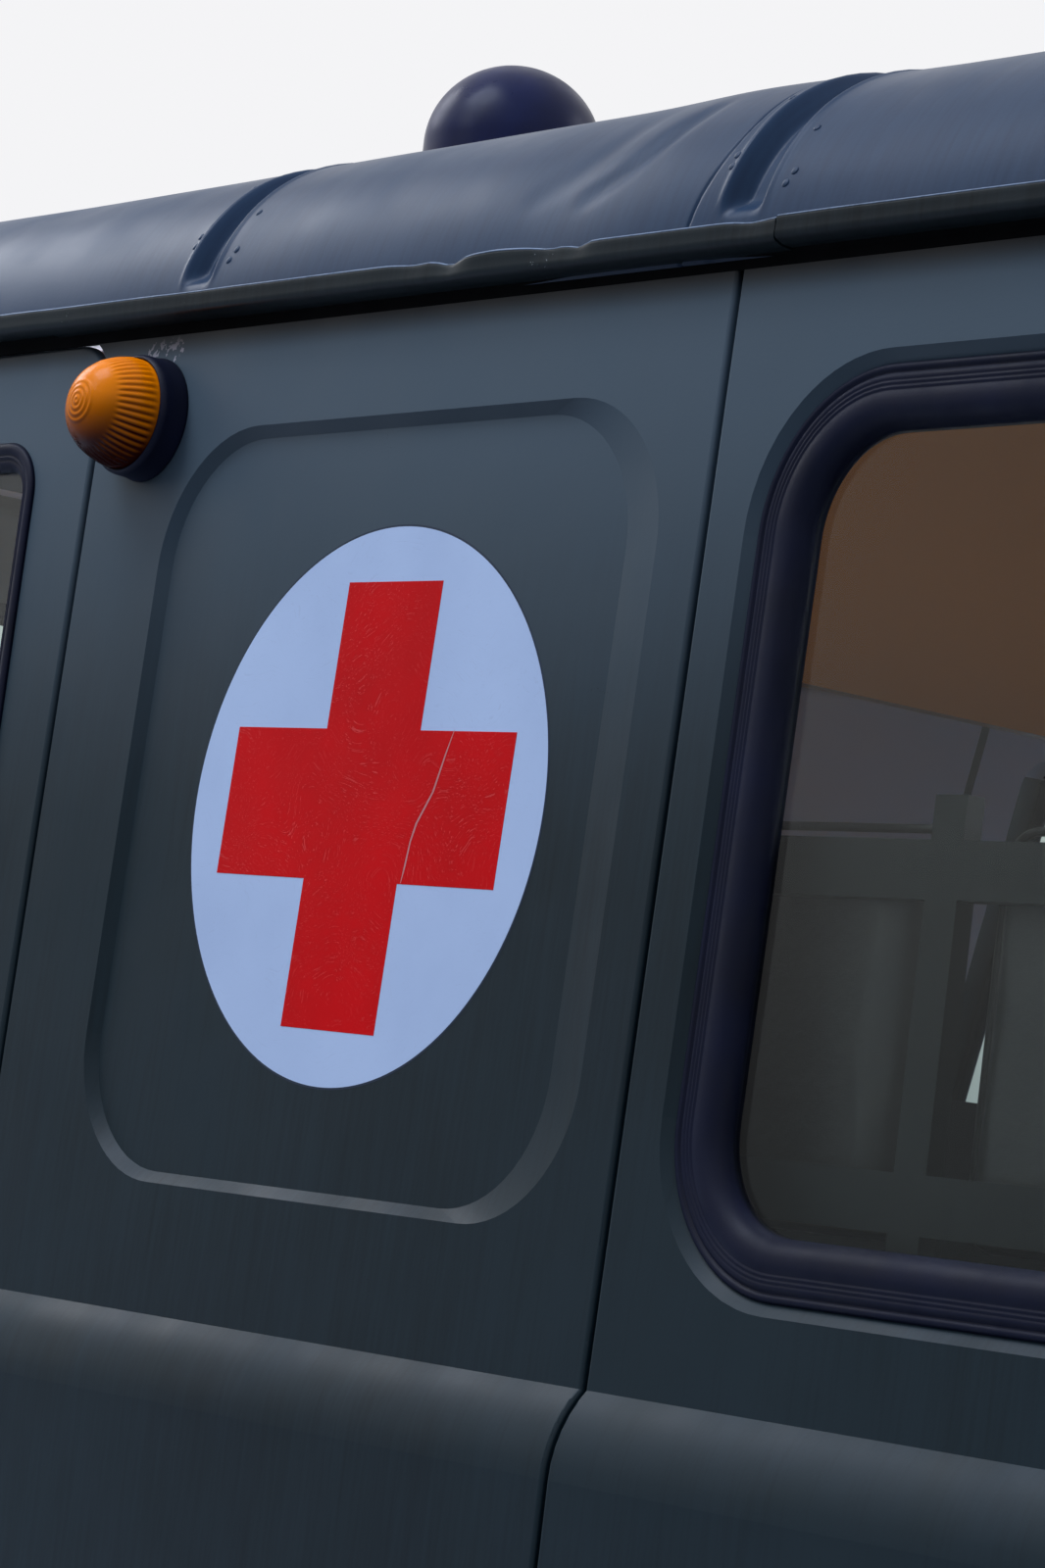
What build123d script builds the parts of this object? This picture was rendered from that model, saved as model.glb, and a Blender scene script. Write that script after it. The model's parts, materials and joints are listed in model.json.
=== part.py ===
"""Forward-control four-wheel-drive military ambulance van: pressed panels on a ladder chassis.

Frame: +X is the vehicle's left side, -Y its front, +Z up. The origin lies on the ground under
the middle of the vehicle. Every length is in millimetres.
"""

import os
from functools import cache
from math import asin, atan2, cos, degrees, radians, sin, sqrt, tan

from build123d import *

# Body: driving dimensions
NOSE_Y = -2090
TAIL_Y = 2125
SILL_Z = 545
BELT_Z = 1080
GUTTER_Z = 1876
ROOF_Z = 2095
LOWER_X = 963
BELT_X = 938
GUTTER_X = 914
BELT_STEP = LOWER_X - BELT_X
BELT_R = 90
ROOF_CROWN_R = 5170
ROOF_EDGE_R = 150
NOSE_CORNER_R = 290
TAIL_CORNER_R = 210
RAKE = 15.0
WALL = 42
PRESSING = 8
LEAN = (BELT_X - GUTTER_X) / (GUTTER_Z - BELT_Z)
ROOF_SPLIT_Z = 1869
SCREEN_SPLIT_Z = 1090

# Doors and the seams of one side, from the front
DOOR_FRONT_Y = -1760
SEAM_1_Y = -860
SEAM_2_Y = -81
SEAM_3_Y = 719
SEAM_4_Y = 1519
SEAM_W = 4
SEAM_R = 3.5
DOOR_GAP = 7
DOOR_REBATE = 6
DOOR_CORNER_R = 40
DOOR_EDGE_R = 4
CAB_DOOR_Z = (590, 1862)
PILLAR_FOOT_Z = 1170
SIDE_DOOR_Y = (-705, -95)
SIDE_DOOR_Z = (600, 1862)
REAR_DOOR_HALF_W = 600
REAR_DOOR_Z = (640, 1840)
REAR_DOOR_SPLIT = 11
HINGE_OUT = 17
HINGE_R = 9
DOOR_HINGE_Z = (720, 940)
BENCH_POSTS_Y = (-700, 150, 560, 1640, 1860)
BENCH_PADS_Y = (-300, 580, 1460)
BODY_HINGE_Z = (680, 760, 900, 980)

# Running gear
FRONT_AXLE_Y = -1200
REAR_AXLE_Y = 1100
TYRE_R = 390
TYRE_HALF_W = 107.5
RIM_R = 190
TRACK_HALF = 721
KINGPIN_X = 600
SPINDLE_R = 30
ARCH_R = 445
DOOR_ARCH_R = 479
HOUSING_R = 470
HOUSING_T = 12
HOUSING_X = 430
RAIL_X = 385
RAIL_W = 55
RAIL_Z = (520, 635)
RAIL_FRONT_Y = -2040
RAIL_REAR_Y = 2055
CROSS_MEMBERS = (
    (-2010, 540, 620),
    (-1660, 530, 560),
    (-210, 560, 620),
    (560, 540, 620),
    (1560, 540, 620),
    (2020, 540, 620),
)
FLOOR_Z = 700
FLOOR_T = 40
PARTITION_Y = (-825, -803)

# Pressed field with the cross, and the fixed windows
CROSS_Y = -434
CROSS_Z = 1480
RECESS_W = 610
RECESS_H = 600
RECESS_R = 112
RECESS_SLOPE = (9, 42)
WINDOW_W = 658
WINDOW_H = 592
WINDOW_R = 95
WINDOW_Z = 1471
WINDOW_Y = (319, 1119)
SURROUND_W = 716
SURROUND_H = 650
SURROUND_R = 124
SURROUND_DEPTH = 9
SEAL_W = 38
SCREEN_W = 610
SCREEN_H = 520
SCREEN_X = 338
SCREEN_Z = 1520
REAR_GLASS_W = 440
REAR_GLASS_H = 470
REAR_GLASS_X = 300
REAR_GLASS_Z = 1500
BEACON_Y = -1521
BEACON_R = 92
BEACON_TOP_Z = 2400
RIB_W = 46
RIB_Y = (-729, -64, 601, 1266)


def save(part, name):
    """Label one finished piece and write it to its own file."""
    part.label = name
    export_step(part, f"parts/{name}.step")


def both_sides(part):
    """A left-hand piece together with its mirror image."""
    with BuildPart() as pair:
        add(part)
        mirror(part, about=Plane.YZ)
    return pair.part


def right_hand(part):
    """The mirror image of a left-hand piece."""
    with BuildPart() as twin:
        mirror(part, about=Plane.YZ)
    return twin.part


def block(x, y, z):
    """A box between pairs of limits."""
    with BuildPart() as box:
        with Locations(((x[0] + x[1]) / 2, (y[0] + y[1]) / 2, (z[0] + z[1]) / 2)):
            Box(x[1] - x[0], y[1] - y[0], z[1] - z[0])
    return box.part


def rod(start, end, radius):
    """A round bar from one point to another."""
    line = Vector(end) - Vector(start)
    with BuildPart(Plane(origin=start, z_dir=line)) as bar:
        Cylinder(radius, line.length, align=(Align.CENTER, Align.CENTER, Align.MIN))
    return bar.part


def joined(*parts):
    """Several solids as one piece."""
    with BuildPart() as union:
        for part in parts:
            add(part)
    return union.part


def common(first, *others):
    """The space that all the solids share."""
    with BuildPart() as overlap:
        add(first)
        for other in others:
            add(other, mode=Mode.INTERSECT)
    return overlap.part


def without(base, *cutters):
    """A solid with others cut away."""
    with BuildPart() as rest:
        add(base)
        for cutter in cutters:
            add(cutter, mode=Mode.SUBTRACT)
    return rest.part


def side_plane(y, z, out=0.0):
    """Plane on the slanting upper wall of the left side: local x rearward, local y up the wall."""
    slant = atan2(LEAN, 1)
    wall_x = BELT_X - (z - BELT_Z) * LEAN
    on_wall = Plane(origin=(wall_x, y, z), x_dir=(0, 1, 0), z_dir=(cos(slant), 0, sin(slant)))
    return on_wall.offset(out)


def screen_plane(x, z, out=0.0):
    """Plane on the raked front: local x to the vehicle's left, local y up the glass."""
    rake = radians(RAKE)
    y = NOSE_Y + BELT_STEP + (z - BELT_Z) * tan(rake)
    on_screen = Plane(origin=(x, y, z), x_dir=(1, 0, 0), z_dir=(0, -cos(rake), sin(rake)))
    return on_screen.offset(out)


def tail_plane(x, z, out=0.0):
    """Plane on the slightly leaning upper tail: local x to the vehicle's right, local y up."""
    slant = atan2(LEAN, 1)
    y = TAIL_Y - BELT_STEP - (z - BELT_Z) * LEAN
    on_tail = Plane(origin=(x, y, z), x_dir=(-1, 0, 0), z_dir=(0, cos(slant), sin(slant)))
    return on_tail.offset(out)


# The body envelope and its shell


def rounded_plan(half_w, front, rear, front_r, rear_r):
    """Plan view of the body: a long rectangle with its own corner radius at each end."""
    with BuildSketch() as plan:
        with BuildLine():
            Polyline((half_w, rear - rear_r), (half_w, front + front_r))
            TangentArc((half_w, front + front_r), (half_w - front_r, front), tangent=(0, -1))
            Polyline((half_w - front_r, front), (front_r - half_w, front))
            TangentArc((front_r - half_w, front), (-half_w, front + front_r), tangent=(-1, 0))
            Polyline((-half_w, front + front_r), (-half_w, rear - rear_r))
            TangentArc((-half_w, rear - rear_r), (rear_r - half_w, rear), tangent=(0, 1))
            Polyline((rear_r - half_w, rear), (half_w - rear_r, rear))
            TangentArc((half_w - rear_r, rear), (half_w, rear - rear_r), tangent=(1, 0))
        make_face()
    return plan.sketch


@cache
def envelope(inset):
    """The body as one solid, drawn in by inset on every side; inner ones run on downwards."""
    bottom = SILL_Z if inset <= 0 else SILL_Z - 150
    with BuildPart() as upper:
        for z in (BELT_Z - 60, ROOF_Z + 260):
            up = z - BELT_Z
            with BuildSketch(Plane.XY.offset(z)):
                add(
                    rounded_plan(
                        BELT_X - up * LEAN - inset,
                        NOSE_Y + BELT_STEP + up * tan(radians(RAKE)) + inset / cos(radians(RAKE)),
                        TAIL_Y - BELT_STEP - up * LEAN - inset,
                        NOSE_CORNER_R - BELT_STEP - inset,
                        TAIL_CORNER_R - BELT_STEP - inset,
                    )
                )
        loft(ruled=True)
        with BuildSketch(Plane.XZ):
            with Locations((0, ROOF_Z - ROOF_CROWN_R)):
                Circle(ROOF_CROWN_R - inset)
        extrude(amount=3000, both=True, mode=Mode.INTERSECT)
        fillet(upper.faces().sort_by(Axis.Z)[-1].edges(), ROOF_EDGE_R - inset)
    with BuildPart() as body:
        with BuildSketch(Plane.XY.offset(bottom)):
            add(
                rounded_plan(
                    LOWER_X - inset,
                    NOSE_Y + inset,
                    TAIL_Y - inset,
                    NOSE_CORNER_R - inset,
                    TAIL_CORNER_R - inset,
                )
            )
        shoulder_rise = sqrt(BELT_R**2 - (BELT_R - BELT_STEP) ** 2)
        block_top = BELT_Z - shoulder_rise + BELT_R - inset
        extrude(amount=block_top - bottom)
        fillet(body.faces().sort_by(Axis.Z)[-1].edges(), BELT_R - inset)
        add(upper.part)
    return body.part


@cache
def layer(outer, inner):
    """The skin between two insets of the envelope."""
    return without(envelope(outer), envelope(inner))


def roof_grooves():
    """Closed-ended pressed grooves across the roof."""
    with BuildPart() as prisms:
        with BuildSketch(Plane.YZ):
            for y in RIB_Y:
                with Locations((y, 2100)):
                    Rectangle(RIB_W, 344)
                with Locations((y, 1928)):
                    Circle(RIB_W / 2)
        extrude(amount=1300, both=True)
    return common(layer(0, PRESSING), prisms.part)


def side_seams():
    """Narrow grooves where the welded side panels meet."""
    with BuildPart() as strips:
        for y in (SEAM_2_Y, SEAM_3_Y, SEAM_4_Y):
            add(block((-1100, 1100), (y - SEAM_W / 2, y + SEAM_W / 2), (400, 1880)))
    return common(layer(0, PRESSING), strips.part)


def on_side_skin(point):
    """Whether a point lies on the outer skin of either long side."""
    if point.Z > BELT_Z - 1:
        return abs(point.X) > BELT_X - (point.Z - BELT_Z) * LEAN - 1.5
    return abs(point.X) > (LOWER_X - 1.5 if point.Z < BELT_Z - 50 else BELT_X + 12)


def beside_seam(edge):
    """Whether an edge is an outer edge of a panel seam."""
    middle = edge @ 0.5
    in_seam = any(
        abs(abs(edge.bounding_box().min.Y - y) - SEAM_W / 2) < 0.01
        and abs(abs(edge.bounding_box().max.Y - y) - SEAM_W / 2) < 0.01
        for y in (SEAM_2_Y, SEAM_3_Y, SEAM_4_Y)
    )
    return in_seam and edge.length > 20 and on_side_skin(middle)


@cache
def shell():
    """The whole wall, open below, with its wheel arches, seams and roof grooves."""
    with BuildPart() as walls:
        add(layer(0, WALL))
        with Locations((0, FRONT_AXLE_Y, TYRE_R), (0, REAR_AXLE_Y, TYRE_R)):
            Cylinder(ARCH_R, 2200, rotation=(0, 90, 0), mode=Mode.SUBTRACT)
        add(roof_grooves(), mode=Mode.SUBTRACT)
        add(side_seams(), mode=Mode.SUBTRACT)
        fillet([edge for edge in walls.edges() if beside_seam(edge)], SEAM_R)
    return walls.part


# Door outlines, as prisms through one wall


@cache
def cab_door_prism(grow):
    """Outline of the left cab door, enlarged by grow; it follows the pillar and the arch."""
    head_y = DOOR_FRONT_Y + (CAB_DOOR_Z[1] - PILLAR_FOOT_Z) * tan(radians(RAKE))
    with BuildPart() as prism:
        with BuildSketch(Plane.YZ.offset(700)):
            with BuildLine():
                FilletPolyline(
                    (DOOR_FRONT_Y, CAB_DOOR_Z[0]),
                    (SEAM_1_Y, CAB_DOOR_Z[0]),
                    (SEAM_1_Y, CAB_DOOR_Z[1]),
                    (head_y, CAB_DOOR_Z[1]),
                    (DOOR_FRONT_Y, PILLAR_FOOT_Z),
                    radius=DOOR_CORNER_R,
                    close=True,
                )
            make_face()
            if grow:
                offset(amount=grow)
            with Locations((FRONT_AXLE_Y, TYRE_R)):
                Circle(DOOR_ARCH_R - grow, mode=Mode.SUBTRACT)
        extrude(amount=500)
    return prism.part


@cache
def side_door_prism(grow):
    """Outline of the right side door, enlarged by grow."""
    with BuildPart() as prism:
        with BuildSketch(Plane.YZ.offset(-1200)):
            with Locations((sum(SIDE_DOOR_Y) / 2, sum(SIDE_DOOR_Z) / 2)):
                RectangleRounded(
                    SIDE_DOOR_Y[1] - SIDE_DOOR_Y[0] + 2 * grow,
                    SIDE_DOOR_Z[1] - SIDE_DOOR_Z[0] + 2 * grow,
                    DOOR_CORNER_R + grow,
                )
            with Locations((FRONT_AXLE_Y, TYRE_R)):
                Circle(DOOR_ARCH_R - grow, mode=Mode.SUBTRACT)
        extrude(amount=500)
    return prism.part


@cache
def rear_door_prism(grow):
    """Outline of both rear doors together, enlarged by grow."""
    with BuildPart() as prism:
        with BuildSketch(Plane.XZ.offset(-1800)):
            with Locations((0, sum(REAR_DOOR_Z) / 2)):
                RectangleRounded(
                    2 * (REAR_DOOR_HALF_W + grow),
                    REAR_DOOR_Z[1] - REAR_DOOR_Z[0] + 2 * grow,
                    DOOR_CORNER_R + grow,
                )
        extrude(amount=-500)
    return prism.part


def openings(grow):
    """All door outlines together, enlarged by grow."""
    cab = cab_door_prism(grow)
    return joined(both_sides(cab), side_door_prism(grow), rear_door_prism(grow))


@cache
def door_leaf(prism):
    """One door as thick as the wall, its inner part drawn in from the edge of its skin."""
    inner_edge = common(without(prism(0), prism(-DOOR_REBATE)), envelope(PRESSING))
    leaf_part = without(common(shell(), prism(0)), inner_edge)
    return rounded_rim(leaf_part, prism(0), DOOR_EDGE_R)


def rounded_rim(solid, prism, radius):
    """Round the edges where a door outline cuts the outer skin."""
    skin_faces, cut_faces = envelope(0).faces(), prism.faces()

    def touches(faces, point):
        """Whether a point lies on one of the faces."""
        spot = Vertex(point.X, point.Y, point.Z)
        return any(face.distance_to(spot) < 0.02 for face in faces)

    with BuildPart() as rounded:
        add(solid)
        rim = [
            edge
            for edge in rounded.edges()
            if edge.length > 3
            and touches(cut_faces, edge @ 0.5)
            and touches(skin_faces, edge @ 0.5)
            and touches(skin_faces, edge @ 0.25)
        ]
        fillet(rim, radius)
    return rounded.part


def hinge_knuckle(x, y, z, arm_x, arm_y, height):
    """A hinge barrel standing on its vertical axis, with the arm that carries it."""
    with BuildPart() as knuckle:
        with Locations((x, y, z + height / 2)):
            Cylinder(HINGE_R, height)
        add(block(arm_x, arm_y, (z, z + height)))
    return knuckle.part


# Window cut-outs, seals and glass


def cab_glass_outline(shrink):
    """Opening of the cab door window, drawn in by shrink."""
    with BuildSketch() as outline:
        with BuildLine():
            FilletPolyline(
                (-1655, 1200),
                (-930, 1200),
                (-942, 1780),
                (-1512, 1780),
                (-1655, 1250),
                radius=45,
                close=True,
            )
        make_face()
        if shrink:
            offset(amount=-shrink)
    return outline.sketch


def cab_window(shrink, outward, inward):
    """Prism through the left cab door window, between two distances from the skin."""
    middle = side_plane(0, WINDOW_Z, outward)
    with BuildPart() as prism:
        with BuildSketch(middle):
            with Locations((0, -WINDOW_Z)):
                add(cab_glass_outline(shrink))
        extrude(amount=-(outward - inward))
    return prism.part


def window(plane, width, height, radius, shrink, outward, inward):
    """Rounded prism on a wall plane, between two distances from the skin."""
    with BuildPart() as prism:
        with BuildSketch(plane.offset(outward)):
            RectangleRounded(width - 2 * shrink, height - 2 * shrink, radius - shrink)
        extrude(amount=-(outward - inward))
    return prism.part


def pressing(plane, width, height, radius, depth, slopes):
    """Cutter for a pressed field with sloping sides; slopes are its ends' widths, front and rear."""
    front, rear = slopes
    grow = 4
    with BuildPart() as tray:
        with BuildSketch(plane.offset(grow)):
            spread_front, spread_rear = front * grow / depth, rear * grow / depth
            with Locations(((spread_rear - spread_front) / 2, 0)):
                RectangleRounded(
                    width + spread_front + spread_rear, height + 2 * spread_front, radius + spread_front
                )
        with BuildSketch(plane.offset(-depth)):
            with Locations(((front - rear) / 2, 0)):
                RectangleRounded(width - front - rear, height - 2 * front, radius - front)
        loft(ruled=True)
    return tray.part


def seal(plane, width, height, radius, ring):
    """Rubber ring that fills the edge of a window opening and stands proud of the skin."""
    return without(
        window(plane, width, height, radius, 0, 7, -22),
        window(plane, width, height, radius, ring, 8, -23),
    )


def glass_pane(plane, width, height, radius, ring):
    """Flat pane held by a seal."""
    return window(plane, width, height, radius, ring, -9, -14)


# Pieces of the body


def body_panels():
    """Cut the shell into the panels that meet at real seams."""
    fixed = without(shell(), openings(DOOR_GAP))
    both = (-1100, 1100)
    left = (0, 1100)
    right = (-1100, 0)
    front_y = DOOR_FRONT_Y - DOOR_GAP
    rear_y = SEAM_1_Y + DOOR_GAP
    side_z = (SILL_Z - 200, ROOF_SPLIT_Z)
    pillar = ((FRONT_AXLE_Y, rear_y), (1000, ROOF_SPLIT_Z))

    roof = common(fixed, block(both, (-2300, 2300), (ROOF_SPLIT_Z, 2300)))
    save(roof, "roof")

    with BuildPart() as nose:
        add(common(fixed, block(both, (-2300, front_y), (SILL_Z - 200, SCREEN_SPLIT_Z))))
        with Locations(Plane.XZ.offset(1900)):
            with Locations((600, 900), (-600, 900)):
                Cylinder(95, 600, mode=Mode.SUBTRACT)
        with BuildSketch(Plane.XZ.offset(1900)):
            with GridLocations(0, 36, 1, 7):
                with Locations((0, 900)):
                    SlotOverall(720, 18)
        extrude(amount=400, mode=Mode.SUBTRACT)
    save(nose.part, "nose_panel")

    screen_zone = joined(
        block(both, (-2300, front_y), (SCREEN_SPLIT_Z, ROOF_SPLIT_Z)),
        block(both, (front_y, FRONT_AXLE_Y), (SCREEN_SPLIT_Z, ROOF_SPLIT_Z)),
    )
    screen_frame = without(
        common(fixed, screen_zone),
        window(screen_plane(SCREEN_X, SCREEN_Z), SCREEN_W, SCREEN_H, 70, 0, 40, -100),
        window(screen_plane(-SCREEN_X, SCREEN_Z), SCREEN_W, SCREEN_H, 70, 0, 40, -100),
    )
    save(screen_frame, "screen_frame")

    save(common(fixed, block(both, (front_y, rear_y), (SILL_Z - 200, 1000))), "cab_sills")

    left_zone = joined(
        block(left, (rear_y, SEAM_2_Y), side_z),
        block(left, *pillar),
    )
    field = pressing(side_plane(CROSS_Y, CROSS_Z), RECESS_W, RECESS_H, RECESS_R, PRESSING, RECESS_SLOPE)
    save(without(common(fixed, left_zone), field), "cross_panel")

    right_zone = joined(
        block(right, (rear_y, SEAM_2_Y), side_z),
        block(right, *pillar),
    )
    save(common(fixed, right_zone), "side_door_surround")

    for name, y, seam in (
        ("front", WINDOW_Y[0], (SEAM_2_Y, SEAM_3_Y)),
        ("rear", WINDOW_Y[1], (SEAM_3_Y, SEAM_4_Y)),
    ):
        plane = side_plane(y, WINDOW_Z)
        opening = window(plane, WINDOW_W, WINDOW_H, WINDOW_R, 0, 40, -100)
        surround = pressing(plane, SURROUND_W, SURROUND_H, SURROUND_R, SURROUND_DEPTH, (12, 12))
        panel = without(common(fixed, block(left, seam, side_z)), opening, surround)
        save(both_sides(panel), f"window_panels_{name}")

    save(common(fixed, block(both, (SEAM_4_Y, 2300), side_z)), "rear_frame")


def window_fittings():
    """Seals and panes of the fixed windows."""
    side = [
        (side_plane(y, WINDOW_Z, -SURROUND_DEPTH), WINDOW_W, WINDOW_H, WINDOW_R) for y in WINDOW_Y
    ]
    screen = [(screen_plane(x, SCREEN_Z), SCREEN_W, SCREEN_H, 70) for x in (SCREEN_X, -SCREEN_X)]
    with BuildPart() as seals:
        with BuildPart() as side_seals:
            for place in side:
                add(seal(*place, SEAL_W))
        add(both_sides(side_seals.part), mode=Mode.REPLACE)
        for place in screen:
            add(seal(*place, 28))
    save(seals.part, "window_seals")
    with BuildPart() as panes:
        with BuildPart() as side_panes:
            for place in side:
                add(glass_pane(*place, SEAL_W))
        add(both_sides(side_panes.part), mode=Mode.REPLACE)
        for place in screen:
            add(glass_pane(*place, 28))
    save(panes.part, "fixed_glass")


def doors():
    """The five doors, each with its window opening, hinge arms and pane."""
    hinge_x = LOWER_X + HINGE_OUT
    hinge_y = DOOR_FRONT_Y + 18
    with BuildPart() as cab:
        add(door_leaf(cab_door_prism))
        add(cab_window(0, 40, -100), mode=Mode.SUBTRACT)
        for z in DOOR_HINGE_Z:
            arm_x, arm_y = (LOWER_X - 4, hinge_x), (hinge_y - 6, hinge_y + 46)
            add(hinge_knuckle(hinge_x, hinge_y, z, arm_x, arm_y, 34))
    cab_glass = cab_window(0, -9, -14)
    save(cab.part, "door_front_left")
    save(right_hand(cab.part), "door_front_right")
    save(cab_glass, "glass_front_left")
    save(right_hand(cab_glass), "glass_front_right")

    side_y = SIDE_DOOR_Y[0] + 18
    side_window = right_hand(
        window(side_plane(sum(SIDE_DOOR_Y) / 2, WINDOW_Z), 440, 480, 70, 0, 40, -100)
    )
    with BuildPart() as side:
        add(door_leaf(side_door_prism))
        add(side_window, mode=Mode.SUBTRACT)
        for z in DOOR_HINGE_Z:
            arm_x, arm_y = (-hinge_x, 4 - LOWER_X), (side_y - 6, side_y + 46)
            add(hinge_knuckle(-hinge_x, side_y, z, arm_x, arm_y, 34))
    save(side.part, "door_side")
    side_glass = window(side_plane(sum(SIDE_DOOR_Y) / 2, WINDOW_Z), 440, 480, 70, 0, -9, -14)
    save(right_hand(side_glass), "glass_side")

    rear_x = REAR_DOOR_HALF_W + 18
    rear_y = TAIL_Y + HINGE_OUT
    rear_place = (tail_plane(REAR_GLASS_X, REAR_GLASS_Z), REAR_GLASS_W, REAR_GLASS_H, 60)
    middle_edge = common(
        block((-20, REAR_DOOR_SPLIT / 2 + DOOR_REBATE), (1900, 2300), (500, 2000)),
        envelope(PRESSING),
    )
    with BuildPart() as rear:
        add(door_leaf(rear_door_prism))
        add(block((-1000, REAR_DOOR_SPLIT / 2), (1900, 2300), (500, 2000)), mode=Mode.SUBTRACT)
        add(middle_edge, mode=Mode.SUBTRACT)
        add(window(*rear_place, 0, 40, -100), mode=Mode.SUBTRACT)
        for z in DOOR_HINGE_Z:
            arm_x, arm_y = (rear_x - 50, rear_x), (TAIL_Y + 8, rear_y + 6)
            add(hinge_knuckle(rear_x, rear_y, z, arm_x, arm_y, 34))
            add(block((rear_x - 50, rear_x - 22), (TAIL_Y - 8, rear_y), (z, z + 34)))
    rear_glass = window(*rear_place, 0, -9, -14)
    save(rear.part, "door_rear_left")
    save(right_hand(rear.part), "door_rear_right")
    save(rear_glass, "glass_rear_left")
    save(right_hand(rear_glass), "glass_rear_right")

    with BuildPart() as fixed:
        for z in BODY_HINGE_Z:
            with BuildPart() as pair:
                with Locations((hinge_x, hinge_y, z + 16), (rear_x, rear_y, z + 16)):
                    Cylinder(HINGE_R, 32)
                add(block((hinge_x - 4, hinge_x + 4), (hinge_y - 60, hinge_y), (z, z + 32)))
                add(block((LOWER_X, hinge_x), (hinge_y - 60, hinge_y - 25), (z, z + 32)))
                add(block((rear_x, rear_x + 40), (rear_y - 4, rear_y + 4), (z, z + 32)))
                add(block((rear_x + 12, rear_x + 40), (TAIL_Y, rear_y), (z, z + 32)))
            add(both_sides(pair.part))
            with Locations((-hinge_x, side_y, z + 16)):
                Cylinder(HINGE_R, 32)
            add(block((-hinge_x - 4, 4 - hinge_x), (side_y - 60, side_y), (z, z + 32)))
            add(block((-hinge_x, -LOWER_X), (side_y - 60, side_y - 40), (z, z + 32)))
    save(fixed.part, "door_hinges")


def drip_rail():
    """Gutter channel right round the body above the doors."""
    slab = block((-1200, 1200), (-2300, 2300), (ROOF_SPLIT_Z, ROOF_SPLIT_Z + 23))
    trough = block((-1200, 1200), (-2300, 2300), (ROOF_SPLIT_Z + 3, ROOF_SPLIT_Z + 40))
    ring = common(layer(-22, 0), slab)
    channel = common(layer(-19, 0), trough)
    save(without(ring, channel), "drip_rails")


def floor():
    """Floor with the four wheel housings and the hole under the engine cover."""
    inner = HOUSING_R - HOUSING_T
    with BuildPart() as plate:
        add(common(envelope(WALL), block((-1200, 1200), (-2300, 2300), (FLOOR_Z - FLOOR_T, FLOOR_Z))))
        for x, y in (
            ((898, 1000), (-1810, -810)),
            ((-1000, -898), (-1810, -810)),
            ((-1000, -898), (-760, -50)),
            ((-645, 645), (2055, 2200)),
        ):
            add(block(x, y, (600, 800)), mode=Mode.SUBTRACT)
        for side in (1, -1):
            for y in (FRONT_AXLE_Y, REAR_AXLE_Y):
                middle = side * (HOUSING_X + LOWER_X - WALL) / 2
                length = LOWER_X - WALL - HOUSING_X
                with Locations((middle, y, TYRE_R)):
                    Cylinder(HOUSING_R, length, rotation=(0, 90, 0))
    with BuildPart() as housed:
        add(plate.part)
        add(block((-1200, 1200), (-2300, 2300), (-200, FLOOR_Z - FLOOR_T)), mode=Mode.SUBTRACT)
        for side in (1, -1):
            for y in (FRONT_AXLE_Y, REAR_AXLE_Y):
                with Locations((side * (HOUSING_X + HOUSING_T + 300), y, TYRE_R)):
                    Cylinder(inner, 600, rotation=(0, 90, 0), mode=Mode.SUBTRACT)
        add(block((-290, 290), (-1600, -860), (600, 800)), mode=Mode.SUBTRACT)
    save(housed.part, "floor")


def engine_cover():
    """Removable box over the engine, between the seats."""
    with BuildPart() as cover:
        add(block((-310, 310), (-1620, PARTITION_Y[0]), (FLOOR_Z, 1010)))
        top_edges = cover.edges().filter_by(Axis.Y).group_by(Axis.Z)[-1]
        fillet(top_edges, 50)
        add(block((-298, 298), (-1608, PARTITION_Y[0] - 12), (FLOOR_Z - 10, 998)), mode=Mode.SUBTRACT)
    save(cover.part, "engine_cover")


# Chassis


def towing_plate(x):
    """Upright plate with a towing eye, under the front bumper."""
    with BuildPart() as plate:
        with BuildSketch(Plane.YZ.offset(x - 10)):
            with BuildLine():
                FilletPolyline(
                    (-2110, 425),
                    (-2188, 425),
                    (-2188, 497),
                    (-2125, 497),
                    (-2098, 541),
                    (-2020, 541),
                    (-2020, 500),
                    (-2075, 500),
                    radius=10,
                    close=True,
                )
            make_face()
            with Locations((-2158, 460)):
                Circle(16, mode=Mode.SUBTRACT)
        extrude(amount=20)
    return plate.part


def chassis():
    """Ladder frame: two rails with mounts and towing eyes, and the members between them."""
    with BuildPart() as rails:
        for side in (1, -1):
            x = (side * RAIL_X - RAIL_W / 2, side * RAIL_X + RAIL_W / 2)
            add(block(x, (RAIL_FRONT_Y, RAIL_REAR_Y), RAIL_Z))
            for y in (-1900, -620, 420, 1750):
                add(block(x, (y - 40, y + 40), (RAIL_Z[1], FLOOR_Z - FLOOR_T)))
            add(towing_plate(side * RAIL_X))
    save(rails.part, "frame_rails")

    inner_x = RAIL_X - RAIL_W / 2
    with BuildPart() as members:
        for y, foot, top in CROSS_MEMBERS:
            add(block((-inner_x, inner_x), (y - 30, y + 30), (foot, top)))
        add(block((-60, 60), (2030, 2060), (455, 600)))
        for z in (455, 515):
            with BuildSketch(Plane.XY.offset(z)):
                with Locations((0, 2107)):
                    Rectangle(120, 174)
                with Locations((0, 2158)):
                    Circle(17, mode=Mode.SUBTRACT)
            extrude(amount=16)
        with Locations((0, 2158, 493)):
            Cylinder(17, 90, mode=Mode.SUBTRACT)
        for x in (-60, 60):
            add(block((x - 20, x + 20), (2178, 2200), (440, 540)), mode=Mode.SUBTRACT)
    save(members.part, "cross_members")


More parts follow.
